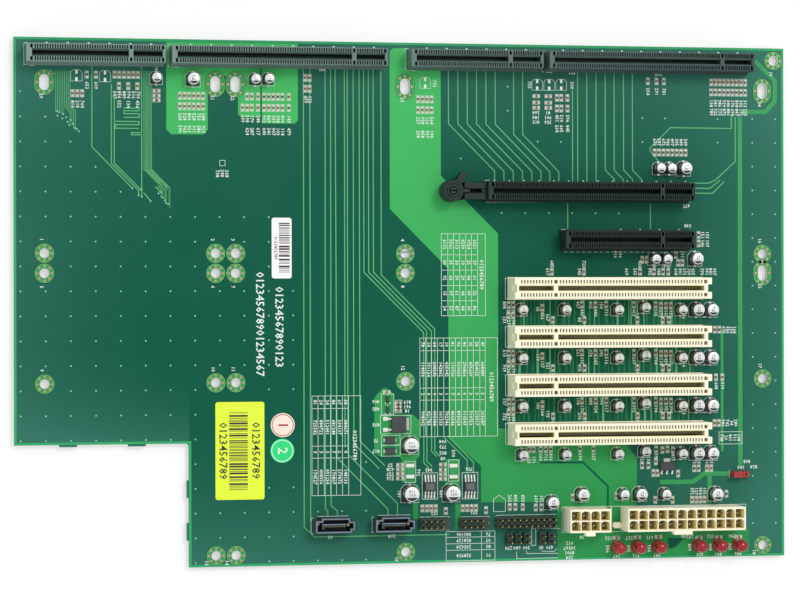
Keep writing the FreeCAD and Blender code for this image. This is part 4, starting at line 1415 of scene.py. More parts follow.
@dataclass(frozen=True)
class Chips:
    """The larger soldered chips: bodies with broken edges, bent leads, tabs and end caps."""

    lead_pitch: float = 1.27
    small_pitch: float = 0.95
    tab_pitch: float = 2.3
    power_pitch: float = 2.28
    power_pad: Point = (1.0, 0.8)
    face: Point = (1.7, 1.3)
    sheet: float = 0.12
    draft: float = 0.18

    def bodies(self, node: str, finish: Finish, slot: str) -> list[Box]:
        """Models the bodies of one node.

        Args:
            node: the CAD node.
            finish: its finish.
            slot: the record's material slot.

        Returns:
            The bodies' boxes.
        """
        made = Shape()
        boxes = solids(node)
        for low, high in boxes:
            made.box(low + Vector((0.0, 0.0, 0.05)), high, 0, self.draft)
        made.piece(f"{node}_bodies", [finish], slot, node)
        return boxes

    def lead(self, out: float, rise: float, width: float) -> Shape:
        """Models a gull-wing lead that leaves a face along Y.

        Args:
            out: how far the foot reaches.
            rise: height where it leaves the body.
            width: its width.

        Returns:
            The lead, the body's face at nought.
        """
        made = Shape()
        made.strip([(-0.1, rise), (out * 0.3, rise), (out * 0.5, self.sheet), (out, self.sheet)], width,
                   self.sheet)
        return made

    def build(self) -> None:
        """Models every larger chip."""
        leads, faces = Shape(), Shape()
        for low, high in self.bodies("driver_chips", CHIP, "chip_plastic"):
            x, y = middle_of((low, high))
            wing = self.lead(3.0, 0.8, 0.62)
            faces.tile((x, y), self.face, (high.z - 0.05, high.z + 0.02))
            for step in (-1.5, -0.5, 0.5, 1.5):
                spot = x + step * self.lead_pitch
                leads.stamp(wing, [at(spot, high.y, BOARD_TOP), at(spot, low.y, BOARD_TOP, 180.0)])
        for low, high in self.bodies("transistors", CHIP, "chip_plastic"):
            x, y = middle_of((low, high))
            size = high - low
            if size.x < 5.0:
                spots = [at(x + step * self.small_pitch, low.y, BOARD_TOP, 180.0) for step in (-1, 1)]
                spots.append(at(x, high.y, BOARD_TOP))
                leads.stamp(self.lead(0.7, 0.5, 0.4), spots)
            elif size.x > size.y * 1.3:
                leads.stamp(self.lead(1.7, 0.8, 0.7),
                            [at(x + step * self.tab_pitch, low.y, BOARD_TOP, 180.0) for step in (-1, 0, 1)])
            else:
                leads.stamp(self.lead(2.6, 0.9, 0.8),
                            [at(low.x, y + step * self.power_pitch, BOARD_TOP, 90.0) for step in (-1, 1)])
                for step in (-self.power_pitch, self.power_pitch):
                    leads.tile((low.x - 2.4, y + step), self.power_pad, (BOARD_TOP, BOARD_TOP + 0.15))
        tabs = Shape()
        for low, high in solids("transistor_tabs"):
            tabs.box(low, high, 0, 0.12)
        tabs.piece("transistor_tab_plates", [TIN], "tinned_tab", "transistor_tabs")
        for low, high in self.bodies("diodes", CHIP, "chip_plastic"):
            _, y = middle_of((low, high))
            for end, turn in ((low.x, 90.0), (high.x, -90.0)):
                leads.stamp(self.lead(0.6, 0.9, 1.4), [at(end, y, BOARD_TOP, turn)])
        leads.piece("chip_leads", [BRIGHT], "tinned_tab")
        faces.piece("driver_chip_faces", [CHIP_TOP], "chip_plastic")
        caps = Shape()
        for low, high in self.bodies("resettable_fuses", FUSE, "fuse_green"):
            for end in (low.y, high.y):
                caps.box((low.x - 0.04, end - 0.8, low.z), (high.x + 0.04, end + 0.8, high.z + 0.04), 0, 0.1)
        caps.piece("fuse_end_caps", [BRIGHT], "tinned_tab")


@dataclass(frozen=True)
class PaperLabels:
    """The printed labels: rounded paper with plain bars and figures."""

    thin: float = 0.03
    corner: float = 1.0
    margin: float = 0.1
    figure: float = 0.16
    round_figure: float = 0.8
    round_line: Point = (0.75, 0.45)

    def sheet(self, name: str, finish: Finish, slot: str, bars: Point, columns: Sequence[float]) -> None:
        """Models one rectangular label.

        Args:
            name: its CAD node.
            finish: its paper.
            slot: the record's material slot.
            bars: left and right shares of its width that the bars fill.
            columns: shares of its width where lines of figures stand.
        """
        low, high = node_box(name)
        wide, long = high.x - low.x, high.y - low.y
        made, rng = Shape(), random.Random(SEED)
        made.patch(four_corners(low, high), low.z, high.z, 0, self.corner)
        sunk, proud = high.z - LAYER_SINK, high.z + self.thin
        y = low.y + long * self.margin
        while y < high.y - long * self.margin:
            step = rng.choice((0.25, 0.25, 0.5, 0.75))
            made.box((low.x + wide * bars[0], y, sunk), (low.x + wide * bars[1], y + step, proud), 1)
            y += step + rng.choice((0.3, 0.3, 0.5, 0.8))
        for share in columns:
            made.number("0123456789", (low.x + wide * share, (low.y + high.y) / 2.0), wide * self.figure,
                        sunk, proud, -90.0, 1)
        made.piece(f"{name}_print", [finish, DARK_INK], slot, name)

    def sticker(self, name: str, finish: Finish, ink: Finish, slot: str, figure: str) -> None:
        """Models one round sticker with a plain figure.

        Args:
            name: its CAD node.
            finish: its paper.
            ink: its print.
            slot: the record's material slot.
            figure: the figure on it.
        """
        low, high = node_box(name)
        middle, radius = middle_of((low, high)), (high.x - low.x) / 2.0
        inner, outer = (radius - edge for edge in self.round_line)
        sunk, proud = high.z - LAYER_SINK, high.z + self.thin
        made = Shape()
        made.drum(middle, low.z, high.z, radius, radius, 48)
        made.ring(middle, inner, outer, sunk, proud, paint=1, sides=40)
        made.number(figure, middle, radius * self.round_figure, sunk, proud, -90.0, 1)
        made.piece(f"{name}_print", [finish, ink], slot, name)

    def build(self) -> None:
        """Models all four."""
        self.sheet("barcode_label", WHITE_PAPER, "white_paper", (0.36, 0.9), (0.2,))
        self.sheet("yellow_label", YELLOW_PAPER, "yellow_paper", (0.28, 0.66), (0.82, 0.15))
        self.sticker("pink_sticker", PINK_PAPER, RED, "pink_paper", "1")
        self.sticker("green_sticker", GREEN_PAPER, INK, "green_paper", "2")


class Layer(Enum):
    """How far each layer of the board's face stands above it."""

    POUR = 0.04
    GAP = 0.05
    TRACE = 0.06
    LAND = 0.08
    VIA = 0.1
    PRINT = 0.12


def span(layer: Layer, back: bool = False) -> tuple[float, float]:
    """Lower and upper level of a layer on the board's top or back."""
    return ((BOARD_BACK - layer.value, BOARD_BACK + LAYER_SINK) if back
            else (BOARD_TOP - LAYER_SINK, BOARD_TOP + layer.value))


HOLE_COLUMNS = (-150.9, -81.0, -72.7, -1.6)
RIGHT_HOLES = 153.7
ROUND_HOLES = ([(x, y) for y in (20.6, 12.4, -32.7) for x in HOLE_COLUMNS]
               + [(x, -103.9) for x in HOLE_COLUMNS[1:]]
               + [(RIGHT_HOLES, y) for y in (20.6, -32.7, -103.9)] + [(158.7, 103.2)])
SLOT_HOLES = [(x, 90.2) for x in HOLE_COLUMNS + (RIGHT_HOLES,)] + [(RIGHT_HOLES, 12.4)]
OUTLINE = ((-163.25, 108.5), (163.25, 108.5), (163.25, -108.5), (-92.2, -108.5), (-92.2, -57.55),
           (-163.25, -57.55))
HOLE_FILL = [
    (-8.1, 45.6), (-8.1, 39.2), (16.7, 14.2), (16.7, -56.6), (30.5, -68.4), (30.5, -83.7), (63.3, -84.0),
    (63.5, -107.6), (120.4, -107.6), (120.4, -101.8), (98.1, -98.0), (98.1, -65.9), (90.0, -56.0),
    (38.0, -52.7), (38.0, 29.1), (13.6, 53.2), (13.6, 98.0), (0.0, 98.0), (0.0, 106.2),
]
FILLS = (
    [(-101.2, 105.2), (-101.2, 71.5), (-99.3, 69.5), (-86.1, 69.5), (-84.1, 71.5), (-84.1, 98.0),
     (-98.8, 98.0), (-98.8, 105.2)],
    [(-84.1, 98.0), (-84.1, 93.6), (-70.575, 93.6), (-70.4, 95.0), (-67.0, 98.0)],
    four_corners((-101.2, 105.2), (-46.7, 107.3)),
    [(-61.7, 98.0), (-61.7, 74.3), (-48.0, 74.3), (-46.7, 75.6), (-46.7, 98.0)],
    [(-70.4, 95.0), (-71.6, 85.4), (-71.6, 78.0), (-70.3, 76.7), (-62.3, 76.7), (-62.3, 98.0),
     (-67.0, 98.0)],
    [(1.5, -46.5), (3.3, -48.3), (4.4, -49.2), (4.3, -64.1), (2.8, -65.6), (2.8, -74.9), (-3.3, -74.8),
     (-3.3, -65.5), (-4.6, -63.7), (-13.1, -63.6), (-14.9, -61.2), (-14.8, -39.2), (-11.2, -35.6),
     (-10.0, -35.3), (-6.7, -37.8), (-6.7, -46.4)],
    [(120.4, -101.8), (120.4, -107.6), (147.6, -107.6), (147.6, -97.0), (98.1, -97.0), (98.1, -98.0)],
    four_corners((15.3, -76.6), (21.4, -65.4)), four_corners((1.5, -90.3), (3.6, -75.8)),
    four_corners((19.5, -94.7), (21.6, -84.0)),
)
RUNS = (
    (1.9, [(143.8, 79.0), (143.8, -70.2)]),
    (1.9, [(150.4, 103.3), (159.4, 94.7), (159.4, 86.0), (155.2, 81.3), (144.5, 81.2)]),
    (1.2, [(135.7, -11.9), (135.7, -63.6)]),
    (1.9, [(108.2, -76.3), (122.8, -76.4), (127.9, -72.8), (139.0, -73.2)]),
    (1.9, [(130.1, -73.8), (130.1, -85.7)]),
)
TRACES = [
    [(-44.4, 98.0), (-44.4, -92.8), (-40.1, -96.9), (16.8, -96.9)], [(-41.7, 98.0), (-41.7, -95.5)],
    [(-35.3, 98.0), (-35.5, -85.3), (-34.5, -86.4), (-34.5, -88.5)],
    [(-33.0, 98.0), (-33.1, -84.1), (-30.5, -86.2), (-30.5, -88.6)],
    [(-31.1, 98.0), (-30.6, -64.2), (-9.2, -85.8), (-8.9, -89.0)], [(-27.2, 98.0), (-27.2, -60.0)],
    [(-26.0, 98.0), (-26.0, -62.8), (-5.1, -83.6), (-5.2, -88.5)],
    [(-23.5, 98.0), (-23.5, -58.5), (-12.8, -69.0)], [(-21.0, 98.0), (-20.9, -57.4), (-10.4, -67.8)],
    [(14.8, -56.3), (24.6, -66.0), (24.6, -71.9)], [(16.4, -55.8), (27.3, -66.9), (27.3, -71.4)],
    [(-131.5, 98.0), (-131.6, 64.0), (-115.1, 47.2)],
    [(-123.6, 89.8), (-123.7, 57.3), (-112.6, 46.4), (-112.6, 44.3)],
    [(-122.4, 84.1), (-122.5, 57.4), (-111.7, 46.7)], [(-111.3, 98.0), (-111.3, 43.8)],
    [(-110.5, 45.4), (-107.7, 42.0)], [(-103.6, 49.8), (-100.5, 46.7), (-100.5, 40.8)],
    [(-104.6, 48.9), (-101.9, 46.2), (-101.9, 42.3)], [(-105.8, 48.0), (-103.4, 45.7), (-103.4, 43.4)],
    [(140.0, 80.1), (140.0, 74.1), (113.1, 74.2), (104.1, 65.5), (104.1, 64.2), (107.8, 59.9)],
    [(141.7, 79.0), (141.7, 60.0), (133.0, 52.1), (129.9, 50.7), (118.0, 50.7)],
    [(135.0, 52.1), (130.5, 48.5), (118.0, 48.5)], [(136.9, 51.5), (131.6, 46.4), (118.0, 46.4)],
    [(-118.6, 80.0), (-112.3, 80.0), (-112.3, 78.9), (-118.6, 78.9), (-118.6, 77.7), (-112.3, 77.7),
     (-112.3, 76.2), (-118.6, 76.2)],
    [(-122.0, 74.5), (-112.4, 74.5), (-112.4, 73.2), (-122.0, 73.2), (-122.0, 71.7), (-112.4, 71.7)],
    [(-111.3, 70.0), (-115.5, 70.0), (-115.5, 69.1), (-111.3, 69.1)],
    [(-152.5, 95.0), (-148.2, 95.0), (-146.2, 93.0)], [(68.1, 42.0), (68.1, 31.0)],
    [(104.2, 42.0), (104.2, 31.0)],
]
LONE_VIAS = [
    (55.2, 67.7), (65.2, 67.7), (22.1, 60.4), (42.3, 90.7), (42.3, 80.6), (100.8, 78.1), (110.7, 78.1),
    (133.9, 78.1), (100.8, 68.0), (133.9, 68.0), (-38.7, -86.4), (-28.5, -86.4), (-18.4, -86.4),
    (-18.4, -66.1), (-38.7, -106.7), (-28.5, -106.7), (-18.4, -106.7), (-146.0, 78.5), (-144.9, 78.1),
    (-145.5, 76.6), (-143.5, 75.5), (-143.2, 77.3), (-142.0, 76.0), (-141.4, 74.1), (-140.7, 72.9),
    (-140.2, 74.9), (-139.2, 73.3), (-138.5, 71.7), (-137.7, 71.2), (-136.8, 70.3), (-115.1, 47.2),
    (-112.6, 44.3), (-111.7, 46.7), (-111.3, 43.8), (-107.7, 42.0), (-104.4, 45.2), (-103.4, 45.7),
    (-102.6, 43.4), (-101.9, 42.3), (-101.4, 41.3), (-100.5, 40.8),
]


@dataclass(frozen=True)
class Copper:
    """The board's copper: fills, traces, plated holes and stitching vias."""

    hole: float = 2.0
    stretch: float = 2.6
    land: float = 3.75
    rim: float = 0.14
    moat: float = 0.24
    via_ring: float = 2.95
    land_via: Point = (0.55, 0.48)
    via: Point = (0.42, 0.34)
    inset: float = 0.55
    margin: float = 0.9
    trace: float = 0.44
    fine: float = 0.26
    back_pitch: float = 2.4
    grid: float = 10.16
    grid_start: Point = (-160.6, 45.7)
    hole_gap: float = 1.5
    label_gap: float = 1.0

    def fills(self) -> None:
        """Lays the copper fills, their gaps and the bright margin along the board's edge."""
        made = Shape()
        levels = span(Layer.POUR)
        x, y = SLOT_HOLES[3]
        turns = [math.pi * (0.5 - step / 8.0) for step in range(9)]
        left, right = ([(x + side * self.hole * math.cos(turn),
                         y + self.hole * math.sin(turn) + math.copysign(self.stretch / 2.0, math.sin(turn)))
                        for turn in turns] for side in (-1.0, 1.0))
        west = [(-8.1, 104.6), (-8.1, 45.6), (x, 45.6)] + left[::-1] + [(x, 106.2), (-6.5, 106.2)]
        east = [(x, 106.2)] + right + [(x, 45.6)] + HOLE_FILL
        for outline in (west, east, *FILLS):
            made.patch(outline, *levels)
        for width, way in RUNS:
            made.ribbon(way, width, *levels, 3)
        low, high = span(Layer.GAP)
        made.ribbon([(56.0, -67.3), (74.6, -67.5), (85.4, -77.8), (85.3, -86.7)], 0.9, low, high, 1)
        made.patch([(111.5, -100.1), (118.7, -100.2), (114.8, -104.2), (112.0, -104.7)], low, high, 1)
        inset = self.inset
        rim = [(x - math.copysign(inset, x), y - math.copysign(inset, y)) for x, y in OUTLINE]
        for corner in (3, 4):
            rim[corner] = (OUTLINE[corner][0] + inset, OUTLINE[corner][1] + inset)
        for back in (False, True):
            made.ribbon(rim, self.margin, *span(Layer.POUR, back), 2, True)
        made.piece("copper_fills", [POUR, GAP, MARGIN, RUN], "green_board")

    def ways(self) -> list[list[Point]]:
        """Middle lines of the traces.

        Returns:
            One list of points for each trace.
        """
        found = list(TRACES)
        for x in (16.9, 20.9, 24.9, 28.9, 32.9, 36.9):
            found.append([(x, 98.0), (x, 74.9), (x + 19.7, 55.2), (x + 19.7, 50.0)])
        for x in (44.8, 48.7):
            found.append([(x, 98.0), (x, 70.7), (x + 15.6, 55.1), (x + 15.6, 50.0)])
        for x in (70.3, 72.5, 76.5, 80.5):
            found.append([(x, 98.0 if x > 71.0 else 89.8), (x, 50.0)])
        for x in (84.5, 88.4, 92.5, 96.4):
            found.append([(x, 98.0), (x, 56.0), (x + 4.0, 52.0), (x + 4.0, 50.0)])
        for x, bend, drop, foot in ((-19.1, 12.8, 6.1, -66.8), (-17.1, 12.8, 7.4, -66.1),
                                    (-15.1, 12.8, 9.4, -62.0), (-11.8, 11.7, 10.8, -62.0)):
            found.append([(x, 98.0), (x, bend), (drop, bend - drop + x), (drop, foot),
                          (drop + 2.2, foot - 2.2)])
        return found

    def bundles(self) -> list[list[Point]]:
        """Middle lines of the fine traces that run side by side below the first host slot.

        Returns:
            One list of points for each trace.
        """
        found: list[list[Point]] = []
        for step in range(7):
            x, drop = -110.4 + step * 0.52, -104.3 + step * 0.75
            found.append([(x, 95.3), (x, 55.0), (drop, 55.0 + x - drop), (drop, 45.3 - step)])
        for step in range(9):
            x, foot, lean = -146.2 + step * 0.72, 78.4 - step * 0.35, step - 4
            found.append([(x, 95.0), (x, foot)] if step < 5 else
                         [(x, 95.0), (x, 80.0 + lean * 0.2), (x + 2.2, 77.6 + lean * 0.3),
                          (x + 2.2, 74.6 - lean)])
        return found

    def traces(self) -> None:
        """Lays the traces, and on the back the crossing runs that join them."""
        made = Shape()
        for width, ways in ((self.trace, self.ways()), (self.fine, self.bundles())):
            for way in ways:
                made.ribbon(way, width, *span(Layer.TRACE))
        rng = random.Random(SEED)
        for slot in range(3):
            low, x = FIRST_CARD - (slot + 1) * CARD_PITCH, 43.0
            while x < 124.0:
                width = rng.uniform(0.3, 1.0)
                made.ribbon([(x, low + 4.0), (x, low + CARD_PITCH - 4.0)], width, *span(Layer.TRACE),
                            rng.choice((0, 1, 1, 1)))
                x += width + rng.uniform(0.5, 2.4)
        for step in range(9):
            x, y = -30.0 - step * self.back_pitch, 58.0 - step * self.back_pitch
            made.ribbon([(x, 94.0), (x, y), (x + 20.0, y - 20.0), (x + 80.0, y - 20.0)], self.trace,
                        *span(Layer.TRACE, True))
        for step in range(24):
            x = 46.5 + step * 3.2
            made.ribbon([(x, -48.0), (x, 40.0)], 0.4, *span(Layer.TRACE, True))
        made.piece("copper_traces", [TRACE, FAINT], "green_board")

    def lands(self) -> None:
        """Rings every mounting hole with copper and small vias, and plates its bore."""
        made, dots, bright = Shape(), Shape(), self.land + self.rim
        dots.drum((0.0, 0.0), -LAYER_SINK, Layer.VIA.value, *self.land_via, 8, 1)
        holes = [(*spot, 0.0) for spot in ROUND_HOLES] + [(*spot, self.stretch) for spot in SLOT_HOLES]
        for x, y, stretch in holes:
            for back in (False, True):
                made.ring((x, y), self.hole + 0.02, self.land, *span(Layer.LAND, back), stretch)
                made.ring((x, y), self.land, bright, *span(Layer.LAND, back), stretch, paint=2)
                made.ring((x, y), bright, bright + self.moat, *span(Layer.LAND, back), stretch, paint=4)
            made.ring((x, y), self.hole - 0.12, self.hole + 0.04, BOARD_BACK - 0.09, BOARD_TOP + 0.09,
                      stretch, paint=3)
            for step in range(8):
                turn = step * math.tau / 8.0
                aside = self.via_ring * math.sin(turn)
                aside += math.copysign(stretch / 2.0, aside) if abs(aside) > NEAR else 0.0
                spot = (x + self.via_ring * math.cos(turn), y + aside)
                made.stamp(dots, [at(*spot, BOARD_TOP), under(*spot)])
        made.piece("hole_lands", [LAND, VIA_PAD, RIM, TIN, GAP], "green_board")

    def vias(self) -> None:
        """Stitches the open board with a grid of small vias."""
        dot = Shape()
        dot.drum((0.0, 0.0), -LAYER_SINK, Layer.VIA.value, *self.via, 8)
        spots = []
        for row in range(-6, 16):
            for column in range(32):
                x, y = self.grid_start[0] + column * self.grid, self.grid_start[1] - row * self.grid
                reach = 14 if row > 0 else max(0, row + 5)
                inside = y > -56.0 or x > -90.0
                if column < reach and x < -48.0 and inside and abs(y) < 107.0 and self.is_open((x, y)):
                    spots.append((x, y))
        for row in range(18):
            spots += [(x, 78.2 - row * self.grid) for x in (149.3, 159.5)
                      if self.is_open((x, 78.2 - row * self.grid))]
        spots += [(39.6 + step * self.grid, 37.7) for step in range(6)] + LONE_VIAS
        places = [at(*spot, BOARD_TOP) for spot in spots] + [under(*spot) for spot in spots]
        dot.set_out(places, "stitching_vias", [VIA_DOT], "green_board")

    def is_open(self, spot: Point) -> bool:
        """Whether a spot on the board is clear of holes and labels.

        Args:
            spot: the spot.

        Returns:
            True where a via fits.
        """
        holes = all(math.dist(spot, hole) > self.land + self.hole_gap for hole in ROUND_HOLES + SLOT_HOLES)
        labels = map(node_box, ("barcode_label", "yellow_label", "pink_sticker", "green_sticker"))
        return holes and not any(all(low[axis] - self.label_gap < spot[axis] < high[axis] + self.label_gap
                                     for axis in (0, 1)) for low, high in labels)

    def build(self) -> None:
        """Lays all of the copper."""
        self.fills()
        self.traces()
        self.lands()
        self.vias()


@dataclass(frozen=True)
class ChipRow:
    """A row of small ceramic chips with one spacing."""

    x: float
    y: float
    count: int = 1
    mark: float = 0.0
    step: float = 1.92
    flat: bool = False

    def spots(self) -> list[Point]:
        """Places of the chips."""
        return [(self.x + index * self.step, self.y) for index in range(self.count)]


def lying(x: float, *rows: float) -> list[tuple]:
    """Values for single chips that lie along X, one above the other."""
    return [(x, y, 1, 0.0, 0.0, True) for y in rows]


def under_slot(*spots: Point) -> list[tuple]:
    """Values for single chips below each of the first three bus slots, from the slot's middle line."""
    return [(x, FIRST_CARD - slot * CARD_PITCH + drop, 1, -3.4) for slot in range(3) for x, drop in spots]


CHIP_ROWS = [ChipRow(*row) for row in (
    (-95.6, 85.3, 6, -8.6), (-95.6, 81.0, 6, -9.4), (-67.8, 85.3, 2, -14.4), (-63.3, 85.3, 1, -14.4),
    (-60.8, 85.3, 5, -14.4), (-50.5, 85.3, 1, -14.4), (-69.7, 80.7, 3, -4.6), (-63.3, 80.7, 1, -4.6),
    (-60.8, 80.7, 5, -4.6), (-50.5, 80.7, 1, -4.6), (-122.3, 93.6, 6, -8.2), (-120.5, 89.0, 3, -7.4, 3.75),
    (-133.6, 93.5, 2, -4.4, 3.7), (-139.4, 85.8, 3, -4.4, 1.95), *lying(-105.2, 87.2, 85.2, 83.3),
    (-43.6, 93.3, 2, 0.0, 1.8), (-43.6, 88.8, 2, -4.4, 1.8), (3.9, 85.0, 4, -14.6), (3.9, 80.5, 4, -4.4),
    (54.6, 86.9, 2, 0.0, 5.2, True), (54.6, 84.2, 2, 0.0, 5.2, True), (54.6, 82.0, 2, 0.0, 5.2, True),
    (63.5, 86.3, 2, -13.0), (68.1, 86.3, 1, -13.0), (63.5, 81.8, 2, -4.2), (68.1, 81.8, 1, -4.2),
    (103.2, 93.8, 1, -4.4), (107.0, 93.8, 1, -4.4), (110.2, 93.8, 1, -4.4), (131.1, 93.7, 9, -9.0, 1.88),
    (131.1, 89.4, 9, -8.4, 1.88), (106.1, 63.6, 8, 4.4, 1.94), (125.4, 28.6), (125.4, 25.0),
    (100.6, 18.1, 2, 0.0, 2.0), (115.3, 20.1), (116.3, 16.8, 2, 0.0, 1.9), (132.5, -11.7, 2, 0.0, 2.0),
    (133.0, -32.0, 2, -3.6, 2.8), (132.3, -51.5, 2, 0.0, 1.9), (106.5, -62.4, 1, -3.2), (109.3, -62.7),
    (111.5, -62.4), (113.9, -62.7, 1, -3.2), (100.3, -69.1, 2, 3.4, 2.8), (106.4, -67.5),
    (105.3, -72.4, 2, 0.0, 1.8), (116.2, -72.8), (123.3, -70.7, 2, 3.4, 1.9), (128.9, -70.7, 2, 3.4, 1.9),
    (70.1, -82.2), (89.1, -81.9), (106.1, -83.8), (113.7, -83.9), (122.3, -84.0, 4, 3.6, 1.85),
    (137.5, -81.7), (89.0, -99.6, 3, 0.0, 9.2, True), (125.3, -100.2, 3, 0.0, 8.8, True),
    *lying(-4.0, -67.5, -69.3, -71.2, -73.1), *lying(14.2, -67.6, -69.8, -71.7, -73.6),
    (5.4, -85.8, 4, 0.0, 1.9), *lying(-4.7, -41.8, -43.2, -44.6), (15.4, -87.0), (22.6, -86.0, 4, 0.0, 1.9),
    (32.6, -87.0), (42.8, -85.8, 2, 3.6, 2.4), (48.4, -85.9, 1, 3.6), (54.0, -86.2, 2, 3.6, 2.5),
    *lying(-9.6, -37.1), (51.1, -61.7, 2, -4.4, 2.0), (56.2, -61.7, 3, -3.4, 2.2),
    (73.3, -61.7, 2, -3.4, 5.8),
    *((x, 13.0, 1, 3.2) for x in (61.2, 75.1, 99.6, 105.7, 109.7, 112.0)),
    *under_slot(
        (42.5, -6.9), (44.4, -6.9), (42.4, -11.3), (44.4, -11.3), (57.0, -8.1), (61.6, -13.2), (74.2, -6.8),
        (75.3, -13.3), (80.1, -7.0), (84.8, -6.8), (96.9, -7.0), (98.4, -13.3), (106.4, -7.0),
        (108.7, -7.4), (110.9, -7.4), (113.1, -7.4), (109.5, -13.4), (112.3, -13.4)),
)]


@dataclass(frozen=True)
class SmallChips:
    """Small ceramic chips: a body between two tinned ends, each on its pads."""

    length: float = 1.7
    width: float = 0.9
    height: float = 0.6
    end: float = 0.38
    pad: float = 0.45

    def chip(self) -> Shape:
        """Models one chip along Y on the board's top.

        Returns:
            The chip with its ends and solder.
        """
        made = Shape()
        half, long = self.width / 2.0, self.length / 2.0
        made.box((-half + 0.03, -long + self.end - 0.05, 0.03),
                 (half - 0.03, long - self.end + 0.05, self.height - 0.03))
        for side in (-1.0, 1.0):
            near, far = sorted((side * (long - self.end), side * long))
            made.box((-half, near, 0.03), (half, far, self.height), 1, 0.07)
            near, far = sorted((side * (long - self.end), side * (long + self.pad)))
            made.box((-half - 0.05, near, -0.01), (half + 0.05, far, Layer.VIA.value), 1)
        return made

    def build(self) -> None:
        """Sets tan and dark chips along their rows."""
        rng = random.Random(SEED)
        chip, tan, dark = self.chip(), Shape(), Shape()
        for row in CHIP_ROWS:
            target = dark if rng.random() < 0.3 else tan
            target.stamp(chip, [at(x, y, BOARD_TOP, 90.0 if row.flat else 0.0) for x, y in row.spots()])
        tan.piece("ceramic_capacitors", [CERAMIC, END], "tinned_tab")
        dark.piece("chip_resistors", [GLAZE, END], "chip_plastic")


@dataclass(frozen=True)
class SilkTable:
    """A printed table: its corners, and the shares of its sides where its lines run."""

    low: Point
    high: Point
    columns: tuple[float, ...]
    rows: tuple[float, ...]
    turn: float = -90.0


TABLES = (
    SilkTable((13.7, -5.4), (32.5, 28.9), (0.146, 0.277, 0.417, 0.554, 0.685, 0.825),
              (0.183, 0.368, 0.556, 0.743)),
    SilkTable((4.5, -55.9), (37.6, -14.7),
              (0.074, 0.149, 0.226, 0.306, 0.38, 0.458, 0.534, 0.611, 0.69, 0.772, 0.843),
              (0.371, 0.493, 0.872)),
    SilkTable((-41.1, -79.8), (-20.6, -38.5), (0.124, 0.25, 0.381, 0.5, 0.624, 0.75), (0.377, 0.497, 0.874)),
    SilkTable((15.5, -108.0), (36.4, -95.7), (0.724,), (0.364, 0.583, 0.803), 180.0),
)


FRAMES = (
    ((86.9, -97.0), (146.1, -86.3)), ((65.4, -96.9), (86.7, -86.2)), ((5.4, -82.0), (11.9, -71.0)),
    ((22.4, -82.1), (29.1, -71.1)), ((-1.9, -74.9), (2.6, -66.2)), ((16.6, -74.6), (21.0, -65.7)),
    ((-12.3, -54.5), (0.6, -46.9)), ((-11.9, -46.5), (-6.6, -37.9)), ((-6.0, -45.8), (-3.2, -40.5)),
    ((-11.9, -59.1), (-4.0, -55.2)), ((-11.9, -63.8), (-4.0, -59.4)), ((4.4, -95.0), (16.8, -89.4)),
    ((21.6, -94.6), (33.9, -89.6)), ((134.3, -60.5), (144.5, -55.3)), ((52.2, -102.1), (54.0, -95.1)),
    ((-79.2, 56.7), (-77.0, 58.9)),
)
LINES = [
    [(32.5, 42.9), (32.5, 42.2), (121.7, 42.5)], [(34.4, 51.4), (32.5, 51.4), (32.0, 50.4)],
    [(121.3, 20.4), (121.3, 15.5)], [(37.0, -89.2), (62.9, -89.2)],
    [(36.9, -89.4), (36.9, -94.3), (64.7, -95.2)], [(56.5, -104.6), (62.0, -104.9), (63.1, -103.6)],
    [(49.9, -104.4), (50.1, -105.5), (63.6, -105.7)], [(45.7, -104.6), (45.8, -107.6), (63.6, -107.5)],
    [(138.8, -71.6), (138.8, -74.8)],
    [(35.8, -87.7), (35.8, -82.5), (38.3, -80.8), (40.9, -82.6), (40.9, -87.7), (35.8, -87.7)],
    [(-40.6, -89.1), (-41.5, -89.1), (-41.5, -95.4), (-40.6, -95.4)], [(-38.9, -88.4), (-25.8, -88.4)],
    [(-15.0, -89.1), (-15.9, -89.1), (-15.9, -95.4), (-15.0, -95.4)], [(-13.6, -88.4), (0.3, -88.4)],
    [(67.3, 30.9), (65.3, 30.9), (65.3, 22.0), (67.3, 22.0)],
] + [
    [(66.4 + step * 2.6, 21.3), (68.0 + step * 2.6, 21.3)] for step in range(21)] + [
    [(42.0, 10.3 - row * CARD_PITCH), (41.1, 10.3 - row * CARD_PITCH), (41.1, 1.6 - row * CARD_PITCH),
     (42.0, 1.6 - row * CARD_PITCH)] for row in range(4)]
SPOTS = [(x + index * step, y) for x, y, step, count in (
    (36.5, 51.3, 6.4, 14), (35.5, 42.9, 2.0, 43), (91.2, 30.9, 8.5, 4), (-134.3, 97.5, 2.0, 14),
) for index in range(count)]
